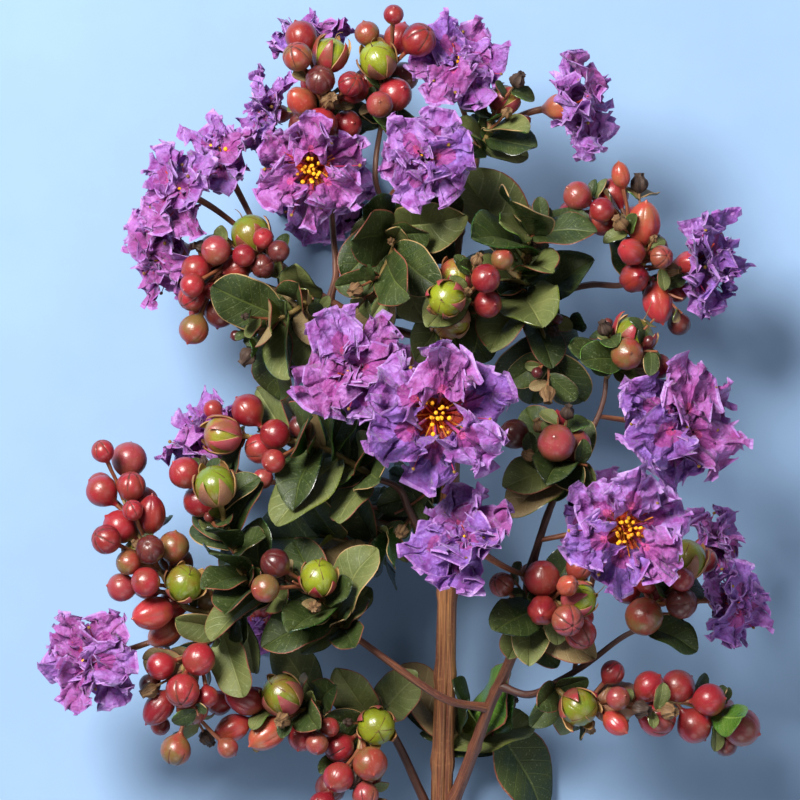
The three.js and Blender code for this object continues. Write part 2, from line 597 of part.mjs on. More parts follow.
function growBloom(bloom) {
  const { name, stalk, wide, random } = bloom;
  const solids = [solid(tube(stalk, STALK.from, STALK.to, STALK.sides, STALK.steps)), calyxSolid(bloom)];
  for (let k = 0; k < BLOOM.petals; k++) {
    const opening = OPENINGS.find((share) => isFree(petalBalls(bloom, petalFrame(bloom, k, share)), name, -wide));
    if (!opening) continue;
    const frame = petalFrame(bloom, k, opening);
    take(petalBalls(bloom, frame), name);
    solids.push(petalSolid(bloom, frame, random));
  }
  addNode(name, joined(solids).subtract(bloom.limb.grown), "petal");
}

Object.entries(LIMBS).forEach(([name, limb]) => growLimb(name, limb));
const blooms = Object.entries(BLOOMS).map(seatBloom);
const masses = Object.entries(MASSES).map(seatMass);
blooms.forEach(growBloom);
masses.forEach(growMass);

// The origin goes to the middle of the whole shoot's box, on the ground.
const box = new THREE.Box3().setFromObject(group);
group.position.set(-(box.min.x + box.max.x) / 2, -(box.min.y + box.max.y) / 2, -GROUND);

export default group;
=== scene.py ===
# A cut flowering branch of crape myrtle, lying on its back: streaked bark, ruffled blooms, round buds,
# splitting capsules and waxy leaves, all grown on from the limbs by one rule.
import json
import math
import bmesh
import bpy
import numpy as np
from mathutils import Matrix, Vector

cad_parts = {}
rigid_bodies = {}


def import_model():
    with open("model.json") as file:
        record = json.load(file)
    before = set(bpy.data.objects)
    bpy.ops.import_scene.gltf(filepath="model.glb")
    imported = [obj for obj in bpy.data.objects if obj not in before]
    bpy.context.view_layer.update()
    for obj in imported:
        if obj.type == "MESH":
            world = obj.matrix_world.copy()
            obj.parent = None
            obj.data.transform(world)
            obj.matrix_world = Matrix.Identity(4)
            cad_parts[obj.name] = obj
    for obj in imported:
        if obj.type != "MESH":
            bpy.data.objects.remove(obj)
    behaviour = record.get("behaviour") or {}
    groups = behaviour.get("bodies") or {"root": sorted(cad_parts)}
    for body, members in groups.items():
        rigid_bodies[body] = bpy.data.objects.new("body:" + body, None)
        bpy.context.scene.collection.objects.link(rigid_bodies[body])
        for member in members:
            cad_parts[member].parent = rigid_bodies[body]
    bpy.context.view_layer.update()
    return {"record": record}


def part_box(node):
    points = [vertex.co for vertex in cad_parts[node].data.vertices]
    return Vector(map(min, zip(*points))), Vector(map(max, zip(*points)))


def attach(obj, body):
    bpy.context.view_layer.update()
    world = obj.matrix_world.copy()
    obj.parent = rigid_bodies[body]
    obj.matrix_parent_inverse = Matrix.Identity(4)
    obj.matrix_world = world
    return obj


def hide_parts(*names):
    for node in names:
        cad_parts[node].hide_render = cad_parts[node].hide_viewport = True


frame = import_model()
bpy.ops.object.select_all(action="DESELECT")

# ---- sizes, in millimetres as the branch was drawn: x across it, y from the cut to the crown, z up ----
MM = 0.001
CUT_MIDDLE = np.array([0.0, 0.0, 21.0])  # of the stem's cut end
SHIFT = np.array(frame["record"]["mounts"][0]["pos_m"]) / MM - CUT_MIDDLE  # from the drawing to the frame
CLEAR = 0.45  # room that a leaf, bud, twig or petal keeps from those of other pieces
OWN_ROOM = 0.3  # and a leaf or bud from the others of its own piece
GROUND = 8.0  # its height in the drawing
TRIES = 60  # at a place for a leaf or bud
LIGHT = np.array([-0.1, 0.3, 1.0])  # towards which leaves turn
LEAF = dict(width=0.64, grid=2.5, ball=1.25)  # width is for a length of 1, and the balls hold its room
TWIG = dict(start=0.85, end=0.45, steps=4)
STALK = dict(start=0.6, end=0.9)
PETALS = 6
BLADE_OUT = 0.275  # these down to CUP_ROOM are shares of a bloom's width, and TILT and NOD are slopes
BLADE_LONG = 0.215
BLADE_WIDE = 0.215
STEP = 0.075
TILT, NOD, CUP = (-0.27, 0.27), (-0.2, 0.25), (-0.03, 0.06)
CUP_HIGH = 0.2
CLAW_ROOT = (0.07, 0.16)
CUP_ROOM = ((0.08, 0.12), (0.15, 0.12), (0.27, 0.07))
OPENINGS = (1, 0.85, 0.7, 0.55)  # how far a petal opens, tried in turn
GOLDEN = math.pi * (3 - math.sqrt(5))
FULL = 2 * math.pi  # a whole turn
RULE_SEED = 100  # with a bloom's number, for its turn and its petals
PRESSED = 0.00004  # metres above the ground that what is pressed flat lies

# Limbs: the one that each leaves, its radius at both ends, and the line that it follows.
LIMBS = {
    "main_stem": (None, 3, 1.1, [(0, 0, 21), (0, 20, 23), (0.8, 50, 33), (1.5, 80, 42), (2.3, 112, 47),
        (2, 137, 50), (3, 158, 52), (5.3, 169, 54), (7.8, 179, 56), (8.3, 185, 57)]),
    "right_bough": ("main_stem", 1.8, 1.1, [(0, 12, 22.2), (4, 20, 26), (8, 31, 34), (11.8, 42.5, 42),
        (16.3, 53, 50), (19.5, 62.5, 57), (21.8, 79, 66)]),
    "cross_bough": ("right_bough", 1.05, 0.65, [(11.6, 42, 41.6), (2, 44, 47), (-5.8, 48.5, 50),
        (-13.3, 54, 52), (-21.5, 60, 52), (-29.5, 65.5, 51), (-38, 69, 50), (-48, 67.5, 49),
        (-58.3, 64.5, 47)]),
    "left_bough": ("main_stem", 1.25, 0.65, [(0, 7.5, 21.6), (-5.8, 20, 22), (-11.3, 32, 24),
        (-16.3, 39.5, 27), (-23.3, 43.5, 30), (-32, 43, 31), (-39.5, 41, 30)]),
    "low_right_bough": ("right_bough", 1, 0.6, [(14.2, 48, 46.2), (21.8, 45.8, 50), (29.3, 49.5, 54),
        (36.8, 54.3, 57), (45.8, 61, 58), (55.3, 64.5, 56)]),
    "mid_right_bough": ("right_bough", 1, 0.55, [(21.4, 76.5, 64.8), (25.5, 90, 68), (28.8, 98, 68),
        (33.8, 107, 66), (37.8, 113.8, 64), (40.3, 120.5, 62), (41, 127, 60)]),
    "mid_left_bough": ("main_stem", 1.1, 0.7, [(1.6, 81, 42.3), (-3.8, 84.3, 46), (-8.3, 92, 50),
        (-11.3, 98, 52), (-18.3, 100.5, 52), (-28.3, 102, 51)]),
    "front_bough": ("main_stem", 1, 0.7, [(2, 98, 45), (-1, 101, 54), (-5, 106, 64), (-7, 111, 73)]),
    "upper_left_bough": ("main_stem", 1.15, 0.75, [(2, 135, 49.7), (-8.3, 136.5, 55), (-19.5, 140, 59),
        (-29.5, 145.5, 61), (-35.8, 150, 61), (-41.3, 154.5, 61), (-46.8, 159.3, 60)]),
    "upper_right_bough": ("main_stem", 1.15, 0.65, [(2.2, 132, 49.3), (11.8, 135.5, 50), (22.8, 141.8, 50),
        (29.5, 146.8, 50), (37.3, 149, 50), (45.5, 149, 49), (51.8, 153, 48)]),
    "crown_left_bough": ("upper_left_bough", 0.9, 0.6, [(-28.4, 144.9, 60.8), (-26.8, 152, 61),
        (-27.5, 161.5, 59), (-28, 171.3, 55), (-27.5, 181.3, 51), (-29.3, 190, 49), (-31.3, 195.8, 48)]),
    "crown_mid_bough": ("main_stem", 0.9, 0.6, [(3, 158.5, 52), (-4.5, 162.5, 55), (-12.8, 167, 57),
        (-16.5, 173.3, 57), (-16.8, 180.5, 56), (-15.3, 190, 54), (-14.3, 197, 53)]),
}

# Blooms: the middle of the petals, the way that it faces, its width, its limb and how far along that it sits.
BLOOMS = {
    "heart": ((-1.5, 116, 100), (0.05, -0.08, 1), 40, "front_bough", 1),
    "right_front": ((44.8, 88, 94), (0.05, -0.05, 1), 35, "mid_right_bough", 0.1),
    "heart_left": ((-22.5, 128, 82), (-0.35, 0.3, 0.9), 33, "front_bough", 0.85),
    "crown_front": ((-32.8, 177, 78), (-0.1, -0.15, 1), 31, "crown_left_bough", 0.45),
    "crown_middle": ((-4.5, 180, 82), (-0.1, -0.2, 0.97), 26, "crown_mid_bough", 0.4),
    "low_front": ((4.5, 86, 86), (-0.6, 0.45, 0.66), 29, "right_bough", 0.97),
    "right": ((59.3, 114, 68), (0.4, 0, 0.9), 36, "mid_right_bough", 0.72),
    "crown_top": ((3.8, 204, 66), (0.1, 0.35, 0.93), 25, "main_stem", 1),
    "crown_right": ((34.5, 194, 58), (0.93, 0.1, 0.22), 31, "main_stem", 0.97),
    "far_left": ((-88.3, 54.5, 54), (-0.45, -0.1, 0.88), 27, "cross_bough", 1),
    "upper_right": ((67, 154.5, 50), (0.93, 0.02, 0.3), 29, "upper_right_bough", 1),
    "upper_left_low": ((-70.3, 156, 56), (-0.8, -0.3, 0.5), 26, "upper_left_bough", 0.84),
    "upper_left_mid": ((-66.5, 172, 70), (-0.6, 0.2, 0.77), 23, "upper_left_bough", 1),
    "upper_left_top": ((-56.3, 181, 58), (-0.4, 0.7, 0.6), 24, "upper_left_bough", 0.91),
    "left": ((-59.8, 111.5, 42), (-0.5, 0.75, 0.35), 27, "mid_left_bough", 1),
    "crown_side": ((-44.3, 192.5, 50), (-0.9, 0.1, 0.35), 21, "crown_left_bough", 0.9),
    "crown_left": ((-33.3, 211, 50), (-0.15, 0.9, 0.3), 20, "crown_left_bough", 1),
    "low_right": ((73, 69, 58), (0.85, -0.1, 0.5), 24, "low_right_bough", 1),
    "low_right_back": ((69, 84, 40), (0.75, 0.35, 0.5), 22, "low_right_bough", 0.96),
    "under_left": ((-47, 66, 11), (-0.1, -0.1, -1), 23, "cross_bough", 0.8),
    "under_heart": ((-11, 121, 11.7), (-0.1, 0.1, -1), 30, "upper_left_bough", 0.15),
    "under_crown": ((-31, 174, 13), (-0.1, 0.15, -1), 29, "crown_left_bough", 0.6),
    "under_right": ((44, 88, 12.4), (0.1, -0.1, -1), 30, "low_right_bough", 0.5),
}

# Masses: where the twig is seated, its line from there, and what it bears: number, from, to, size, reach.
MASSES = {
    "crown_left_truss": dict(
        seat=("crown_left_bough", 0.78), seed=3, line=[(-30, 190, 62), (-31, 202, 70)],
        ripe=(1, 0.7, 0.9, 5, 5), buds=(11, 0.15, 1, 3.9, 8)),
    "crown_mid_truss": dict(
        seat=("crown_mid_bough", 0.8), seed=5, line=[(-15, 196, 62), (-13, 206, 68)],
        ripe=(1, 0.6, 0.8, 4.4, 6), buds=(8, 0.3, 1, 4, 7), leaves=(3, 0, 0.3, 13, 0)),
    "crown_right_spray": dict(
        seat=("main_stem", 0.93), seed=4, line=[(11, 186, 60), (13, 193, 62)], ripe=(1, 0.95, 1, 4.5, 3),
        leaves=(5, 0.05, 0.7, 14, 0)),
    "upper_left_truss": dict(
        seat=("upper_left_bough", 0.76), seed=8, line=[(-49, 157, 66), (-57, 150, 66)],
        ripe=(1, 0.3, 0.4, 4.9, 4.5), buds=(13, 0.25, 1, 3.7, 6.2)),
    "upper_left_spray": dict(
        seat=("upper_left_bough", 0.55), seed=11, line=[(-36, 143, 65), (-43, 139, 68)],
        leaves=(9, 0.05, 1, 21, 0)),
    "crown_inner_spray": dict(
        seat=("crown_mid_bough", 0.35), seed=6, line=[(-12, 160, 65), (-16, 150, 72)],
        leaves=(11, 0.1, 1, 22, 0)),
    "upper_right_spray": dict(
        seat=("upper_right_bough", 0.3), seed=21, line=[(19, 150, 56), (22, 162, 62)],
        leaves=(14, 0.05, 1, 24, 0)),
    "upper_right_truss": dict(
        seat=("upper_right_bough", 0.85), seed=15, line=[(51, 156, 54), (47, 165, 55), (38, 168, 54)],
        buds=(11, 0.05, 1, 4.1, 5), leaves=(3, 0, 0.4, 15, 0)),
    "right_side_truss": dict(
        seat=("upper_right_bough", 0.96), seed=2, line=[(54, 149, 51), (57, 145, 50)],
        buds=(5, 0.2, 1, 3.8, 4), leaves=(2, 0.1, 0.6, 11, 0)),
    "right_truss": dict(
        seat=("mid_right_bough", 0.97), seed=9, line=[(44, 130, 63), (46, 132, 67)], ripe=(1, 0.2, 0.5, 5, 6),
        buds=(4, 0.4, 1, 4.1, 4), leaves=(5, 0, 0.7, 15, 0)),
    "heart_spray": dict(
        seat=("main_stem", 0.6), seed=12, line=[(4, 143, 62), (5, 147, 72)], ripe=(3, 0.5, 1, 5.1, 8),
        buds=(2, 0.4, 0.9, 3.8, 9), leaves=(13, 0.1, 0.95, 22, 0)),
    "mid_left_truss": dict(
        seat=("mid_left_bough", 0.75), seed=17, line=[(-30, 108, 57), (-40, 110, 58), (-51, 111, 56)],
        ripe=(1, 0.9, 1, 4.8, 5), buds=(7, 0.55, 1, 3.9, 5), leaves=(12, 0.1, 0.75, 22, 0)),
    "left_truss": dict(
        seat=("cross_bough", 0.94), seed=7, line=[(-65, 68, 51), (-71, 77, 54), (-77, 87, 55), (-81, 97, 54)],
        ripe=(2, 0.25, 0.6, 4.7, 5), buds=(18, 0.15, 1, 4, 6.2), leaves=(1, 0.6, 0.8, 15, 0)),
    "left_spray": dict(
        seat=("cross_bough", 0.78), seed=19, line=[(-50, 75, 55), (-53, 86, 58), (-60, 98, 58)],
        ripe=(1, 0.6, 0.8, 5, 9), buds=(2, 0.8, 1, 4.2, 5), leaves=(21, 0.05, 1, 18, 0)),
    "cross_spray": dict(
        seat=("cross_bough", 0.55), seed=14, line=[(-30, 70, 58), (-34, 74, 63)], ripe=(2, 0.6, 1, 5, 6),
        buds=(2, 0.5, 1, 4, 6), leaves=(12, 0.1, 0.9, 20, 0)),
    "centre_left_spray": dict(
        seat=("main_stem", 0.42), seed=33, line=[(-14, 84, 42), (-31, 86, 44)], leaves=(9, 0.5, 1, 21, 0)),
    "low_left_truss": dict(
        seat=("cross_bough", 0.88), seed=25, line=[(-62, 57, 50), (-66, 50, 49), (-64, 41, 46)],
        buds=(9, 0.2, 1, 3.9, 6), leaves=(8, 0, 0.7, 18, 0)),
    "low_left_spray": dict(
        seat=("left_bough", 0.8), seed=10, line=[(-37, 41, 38), (-48, 42, 40)], ripe=(1, 0.4, 0.6, 5, 6),
        buds=(7, 0.2, 1, 4.2, 6.2), leaves=(11, 0, 1, 18, 0)),
    "low_middle_truss": dict(
        seat=("left_bough", 0.5), seed=13, line=[(-20, 36, 35), (-22, 27, 37)], ripe=(1, 0.1, 0.2, 5.6, 9),
        buds=(8, 0.4, 1, 4.1, 6), leaves=(6, 0, 0.6, 18, 0)),
    "stem_spray": dict(
        seat=("main_stem", 0.14), seed=20, line=[(4, 35, 24), (14, 38, 23)], leaves=(11, 0.1, 1, 26, 0)),
    "right_inner_truss": dict(
        seat=("right_bough", 0.8), seed=31, line=[(25, 70, 67), (30, 69, 72)], ripe=(1, 0.8, 1, 5.1, 4),
        buds=(7, 0.4, 1, 4.3, 6), leaves=(9, 0.1, 0.7, 18, 0)),
    "far_right_truss": dict(
        seat=("low_right_bough", 0.85), seed=16, line=[(54, 70, 62), (60, 75, 64)], ripe=(1, 0.8, 1, 5.2, 4),
        buds=(7, 0.1, 1, 4.4, 5), leaves=(3, 0, 0.6, 14, 0)),
    "low_right_truss": dict(
        seat=("low_right_bough", 0.35), seed=22,
        line=[(34, 44, 57), (47, 43, 56), (60, 44, 53), (71, 39, 50)], ripe=(3, 0.1, 0.45, 5.3, 4),
        buds=(13, 0.4, 1, 4.4, 4.2), leaves=(5, 0, 0.4, 15, 0)),
    "mid_right_spray": dict(
        seat=("mid_right_bough", 0.4), seed=23, line=[(29, 104, 73), (30, 108, 77)], buds=(3, 0.4, 1, 4.2, 6),
        leaves=(8, 0.05, 1, 18, 0)),
    "centre_right_spray": dict(
        seat=("upper_right_bough", 0.3), seed=30, line=[(24, 140, 52), (27, 130, 58)],
        leaves=(8, 0.1, 1, 21, 0)),
}

# ---- the rule that grows the branch: random numbers, lines, frames and the room that is taken ----
def seeded(seed):
    """A maker of random numbers that gives the same row for the same seed."""
    state = seed

    def draw():
        nonlocal state
        state = (state + 0x6D2B79F5) & 0xFFFFFFFF
        t = ((state ^ (state >> 15)) * (1 | state)) & 0xFFFFFFFF
        t = (t + (t ^ (t >> 7)) * (61 | t)) & 0xFFFFFFFF ^ t
        return ((t ^ (t >> 14)) & 0xFFFFFFFF) / 4294967296

    return draw


def unit(v):
    return v / np.linalg.norm(v, axis=-1, keepdims=True)


def mixed(a, b, share):
    return a + (b - a) * share


def eased(x):
    x = np.clip(x, 0, 1)
    return x * x * (3 - 2 * x)


def square_to(direction, wanted):
    """The direction at right angles to another that is nearest to the one wanted."""
    return unit(wanted - direction * np.dot(wanted, direction))


def around(out, side, turn):
    """A direction turned from one towards another, or many directions, one for each of many turns."""
    if np.ndim(turn):
        return out * np.cos(turn)[..., None] + side * np.sin(turn)[..., None]
    return out * math.cos(turn) + side * math.sin(turn)


def circle(count):
    return np.arange(count) / count * FULL


def spread(direction, sizes):
    """A direction times each of many sizes."""
    return direction * np.asarray(sizes)[..., None]


def rounded(x):
    return math.floor(x + 0.5)


class Line:
    """A smooth line through points, with t from 0 at its start to 1 at its end."""

    def __init__(self, points):
        p = np.array(points, float)
        self.spans = len(p) - 1
        self.held = np.vstack([2 * p[0] - p[1], p, 2 * p[-1] - p[-2]])

    def points(self, t):
        t = np.atleast_1d(np.asarray(t, float)) * self.spans
        i = np.minimum(np.floor(t).astype(int), self.spans - 1)
        w = (t - i)[:, None]
        a, b, c, d = (self.held[i + k] for k in range(4))
        lead, trail = 0.5 * (c - a), 0.5 * (d - b)
        square, cube = 3 * c - 3 * b - 2 * lead - trail, 2 * b - 2 * c + lead + trail
        return b + lead * w + square * w**2 + cube * w**3

    def at(self, t):
        return self.points(t)[0]

    def heading(self, t):
        t = np.atleast_1d(np.asarray(t, float))
        return unit(self.points(np.minimum(t + 1e-4, 1)) - self.points(np.maximum(t - 1e-4, 0)))

    def length(self):
        return np.linalg.norm(np.diff(self.points(np.arange(201) / 200), axis=0), axis=1).sum()

    def frames(self, t):
        """Points, headings, and two directions across the line."""
        along = self.heading(t)
        out = across(along, self.at(1) - self.at(0))
        return self.points(t), along, out, np.cross(out, along)


def across(along, chord):
    """A direction across each heading that turns little from one to the next."""
    steady = np.zeros(3)
    steady[np.argmin(np.abs(chord))] = 1
    return unit(steady - along * (along @ steady)[:, None])


class Bow(Line):
    """A line that leaves its start towards a knee and comes to its end from it."""

    def __init__(self, start, knee, end):
        self.start, self.knee, self.end = start, knee, end

    def points(self, t):
        t = np.atleast_1d(np.asarray(t, float))[:, None]
        return (1 - t) ** 2 * self.start + 2 * (1 - t) * t * self.knee + t**2 * self.end


class Room:
    """The space that is taken, as balls, so that nothing grows through anything."""

    def __init__(self):
        self.at, self.r, self.owner, self.names = np.empty((0, 3)), np.empty(0), np.empty(0, int), {}

    def number(self, owner):
        return self.names.setdefault(owner, len(self.names))

    def take(self, balls, owner):
        at, r = balls
        self.at = np.vstack([self.at, at])
        self.r = np.append(self.r, r)
        self.owner = np.append(self.owner, np.full(len(r), self.number(owner)))

    def is_free(self, balls, owner, own_room, clear=CLEAR):
        at, r = balls
        middle = at.mean(axis=0)
        reach = (np.linalg.norm(at - middle, axis=1) + r).max() + clear
        near = np.linalg.norm(self.at - middle, axis=1) <= self.r + reach
        near &= self.owner != self.number(owner + " stem")
        apart = np.linalg.norm(at[:, None] - self.at[near], axis=2)
        kept = np.where(self.owner[near] == self.number(owner), own_room, clear)
        return bool((apart > self.r[near] + r[:, None] + kept).all())


room = Room()


def above_ground(balls):
    return bool((balls[0][:, 2] - balls[1] > GROUND).all())


def balls_along(line, r0, r1):
    count = math.ceil(line.length() / max(r0, r1) / 0.9)
    t = np.arange(count + 1) / count
    return line.points(t), mixed(r0, r1, t)


def point_on_twig(line, t):
    reached = t * TWIG["steps"] * 0.97
    ring = math.floor(reached)
    a, b = line.points([ring / TWIG["steps"], (ring + 1) / TWIG["steps"]])
    return a + (b - a) * (reached - ring)


def leaf_points(leaf, s, w, h):
    """Points of a leaf at shares of its length and half width, a height above it."""
    half = leaf["long"] * LEAF["width"] / 2
    lift = h + leaf["fold"] * np.abs(w) * half - leaf["curl"] * leaf["long"] * s * s
    return (leaf["base"] + spread(leaf["along"], leaf["long"] * s) + spread(leaf["side"], w * half)
            + spread(leaf["up"], lift))


def leaf_balls(leaf, ball=LEAF["ball"]):
    rows = max(1, rounded(leaf["long"] / LEAF["grid"]))
    spots = [(0.12, 0.0, ball / 2)]
    for i in range(1, rows + 1):
        share = mixed(0.2, 0.95, i / rows)
        half = math.sqrt(1 - (2 * share - 1) ** 2)
        columns = max(1, rounded(half * leaf["long"] * LEAF["width"] / LEAF["grid"]))
        spots += [(share, half * ((2 * j + 1) / columns - 1), ball) for j in range(columns)]
    s, w, r = np.array(spots).T
    return leaf_points(leaf, s, w, np.zeros(len(s))), r


def leaving(line, t, turn, swing, leans, draw):
    """A twig's heading, a way out from it, and how far something leans from the first to the second."""
    _, along, out, side = (v[0] for v in line.frames(t))
    away = around(out, side, turn + mixed(-swing, swing, draw()))
    lean = mixed(*leans, draw())
    return along, away, lean


def born_leaf(line, spec, share, turn, draw):
    _, start, end, long, _ = spec
    t = mixed(start, end, share)
    along, away, lean = leaving(line, t, turn, 0.5, (0.75, 1.35), draw)
    direction = around(along, away, lean)
    inner = along * math.sin(lean) - away * math.cos(lean)
    up = square_to(direction, inner + unit(LIGHT) * mixed(0.6, 2.2, draw()))
    return dict(
        base=point_on_twig(line, t), along=direction, up=up, side=np.cross(direction, up),
        long=long * mixed(0.75, 1.15, draw()), fold=mixed(0.05, 0.5, draw()), curl=mixed(-0.05, 0.22, draw()))


def born_bud(line, spec, share, turn, draw):
    _, start, end, size, reach = spec
    t = mixed(start, end, share)
    along, away, lean = leaving(line, t, turn, 0.7, (0.5, 1.3), draw)
    direction = around(along, away, lean * (1 - 0.5 * t))
    r = size * mixed(0.86, 1.1, draw())
    base = point_on_twig(line, t)
    return dict(base=base, along=direction, middle=base + direction * reach * mixed(0.85, 1.9, draw()), r=r)


def bud_balls(bud):
    neck = mixed(bud["base"], bud["middle"], 0.4)
    return np.array([bud["middle"], neck]), np.array([bud["r"], 0.5])


def bear(kind, line, spec, owner, draw):
    """Things of one kind along a twig, each turned by the golden angle and tried again if it has no room."""
    born, balls_of = (born_leaf, leaf_balls) if kind == "leaves" else (born_bud, bud_balls)
    borne = []
    for i in range(spec[0]):
        for turn in range(TRIES):
            share = 1 - abs(1 - abs((i + mixed(-0.5, 1.5, draw())) / spec[0]))
            item = born(line, spec, share, (i + turn) * GOLDEN, draw)
            balls = balls_of(item)
            if above_ground(balls) and room.is_free(balls, owner, OWN_ROOM):
                room.take(balls, owner)
                borne.append(item)
                break
    return borne


def petal_frame(bloom, k, opening):
    outward = around(bloom["u"], bloom["v"], k / PETALS * FULL)
    face, wide = bloom["face"], bloom["wide"]
    rise = (1 - opening) * 1.9 + (0.08 if k % 2 else -0.06)
    along = around(outward, face, rise)
    up = square_to(along, face - outward * 0.4 * (1 - opening))
    step = STEP if k % 2 else -STEP
    out = wide * BLADE_OUT * mixed(0.35, 1, (opening - 0.3) / 0.7)
    middle = bloom["at"] + outward * out + face * wide * (0.16 * (1 - opening) + step)
    root = bloom["base"] + outward * wide * CLAW_ROOT[0] + face * wide * CLAW_ROOT[1]
    return dict(root=root, middle=middle, along=along, up=up, side=np.cross(along, up))


def petal_balls(bloom, petal):
    wide = bloom["wide"]
    spots = ((0, 0), (0.68, 0), (-0.6, 0), (0, 0.6), (0, -0.6), (0.55, 0.5), (0.55, -0.5))
    at = [petal["middle"] + petal["along"] * a * wide * BLADE_LONG + petal["side"] * b * wide * BLADE_WIDE
          for a, b in spots]
    at.append(mixed(petal["root"], petal["middle"], 0.35))
    return np.array(at), np.array([wide * 0.09] * len(spots) + [wide * 0.03])


def seat_bloom(key, spec, number):
    at, face, wide, limb, share = spec
    draw = seeded(RULE_SEED + number)
    name, at, face = "bloom_" + key, np.array(at, float), unit(np.array(face, float))
    flat = square_to(face, np.array([1, 0.2, 0.1]))
    u = around(flat, np.cross(face, flat), draw())
    base = at - face * wide * (CUP_HIGH + 0.09)
    start = limbs[limb]["line"].at(share)
    stalk = Bow(start, base - face * 0.45 * np.linalg.norm(start - base), base)
    room.take(balls_along(stalk, STALK["start"], STALK["end"]), name)
    for height, r in CUP_ROOM:
        room.take((np.array([base + face * height * wide]), np.array([r * wide])), name)
    return dict(key=key, name=name, number=number, face=face, at=at, wide=wide, u=u, v=np.cross(u, face),
                base=base, stalk=stalk, draw=draw)


def open_bloom(bloom):
    bloom["petals"] = []
    for k in range(PETALS):
        for opening in OPENINGS:
            petal = petal_frame(bloom, k, opening)
            balls = petal_balls(bloom, petal)
            if room.is_free(balls, bloom["name"], -bloom["wide"]):
                room.take(balls, bloom["name"])
                shape = [mixed(low, high, bloom["draw"]()) for low, high in ((0, 6), TILT, NOD, CUP)]
                bloom["petals"].append(petal | dict(zip(("phase", "tilt", "nod", "cup"), shape)))
                break


def seat_mass(name, spec):
    limb, share = spec["seat"]
    line = Line([limbs[limb]["line"].at(share), *spec["line"]])
    room.take(balls_along(line, TWIG["start"], TWIG["end"]), name + " stem")
    return dict(name=name, spec=spec, line=line)


def grow_mass(mass):
    draw = seeded(mass["spec"]["seed"])
    for kind in ("ripe", "buds", "leaves"):
        spec = mass["spec"].get(kind)
        mass[kind] = bear(kind, mass["line"], spec, mass["name"], draw) if spec else []


limbs = {}
for name, (parent, r0, r1, points) in LIMBS.items():
    limbs[name] = dict(name=name, parent=parent, r=(r0, r1), line=Line(points))
    room.take(balls_along(limbs[name]["line"], r0, r1), name)
blooms = [seat_bloom(key, spec, number) for number, (key, spec) in enumerate(BLOOMS.items())]
masses = [seat_mass(name, spec) for name, spec in MASSES.items()]
for bloom in blooms:
    open_bloom(bloom)
for mass in masses:
    grow_mass(mass)


# ---- finishes ----
FINISHES = {}


def tint(code):
    """A colour written as six hex digits, for a shader."""
    channels = [int(code[i:i + 2], 16) / 255 for i in (0, 2, 4)]
    return [c / 12.92 if c <= 0.04045 else ((c + 0.055) / 1.055) ** 2.4 for c in channels] + [1]


def join(tree, source, target):
    """Gives a socket its link, its colour or its number."""
    if isinstance(source, bpy.types.NodeSocket):
        tree.links.new(source, target)
    else:
        target.default_value = tint(source) if isinstance(source, str) else source


def put(tree, kind, **settings):
    """A shader node with its settings and inputs, whose names have _ for each space."""
    node = tree.nodes.new("ShaderNode" + kind)
    for key, value in settings.items():
        label = key.replace("_", " ")
        if label in node.inputs:
            join(tree, value, node.inputs[label])
        else:
            setattr(node, key, value)
    return node


def maths(tree, operation, *values, kind="Math"):
    node = put(tree, kind, operation=operation)
    for value, socket in zip(values, node.inputs):
        join(tree, value, socket)
    return node.outputs[0]


def ramp(tree, value, start=0.0, end=1.0, low=0.0, high=1.0):
    """A value from start to end, carried to one from low to high."""
    node = put(tree, "MapRange", Value=value, From_Min=start, From_Max=end, To_Min=low, To_Max=high)
    return node.outputs["Result"]


def blend_of(tree, mask, first, second):
    """A colour between two, by a mask; each is a hex code or another socket."""
    node = put(tree, "Mix", data_type="RGBA")
    for number, given in ((0, mask), (6, first), (7, second)):
        join(tree, given, node.inputs[number])
    return node.outputs[2]


def start_group(name, outputs, **inputs):
    tree = bpy.data.node_groups.new(name, "ShaderNodeTree")
    for label, value in inputs.items():
        socket = tree.interface.new_socket(name=label, in_out="INPUT", socket_type="NodeSocketFloat")
        socket.default_value = value
    for label, kind in outputs:
        tree.interface.new_socket(name=label, in_out="OUTPUT", socket_type="NodeSocket" + kind)
    return tree, tree.nodes.new("NodeGroupInput").outputs, tree.nodes.new("NodeGroupOutput").inputs


MASK, NORMAL = ("Mask", "Float"), ("Normal", "Vector")


def make_mottle():
    """Soft patches over the piece: a mask from 0 to 1."""
    tree, given, told = start_group("mottle", [MASK], Scale=200, Low=0.35, High=0.65)
    place = put(tree, "TexCoord").outputs["Object"]
    noise = put(tree, "TexNoise", Vector=place, Scale=given["Scale"], Detail=3.0, Roughness=0.55)
    join(tree, ramp(tree, noise.outputs["Fac"], given["Low"], given["High"]), told["Mask"])
    return tree


def make_crinkle():
    """Fine creases and pits, as a normal."""
    tree, given, told = start_group("crinkle", [NORMAL], Scale=900, Depth=0.0002, Strength=0.5)
    where = dict(Vector=put(tree, "TexCoord").outputs["Object"], Scale=given["Scale"])
    creases = put(tree, "TexNoise", **where, Detail=4.0, Roughness=0.6, Distortion=1.2)
    pits = put(tree, "TexVoronoi", **where, feature="F1")
    height = maths(tree, "ADD", creases.outputs["Fac"], pits.outputs["Distance"])
    bump = put(tree, "Bump", Height=height, Distance=given["Depth"], Strength=given["Strength"])
    join(tree, bump.outputs["Normal"], told["Normal"])
    return tree


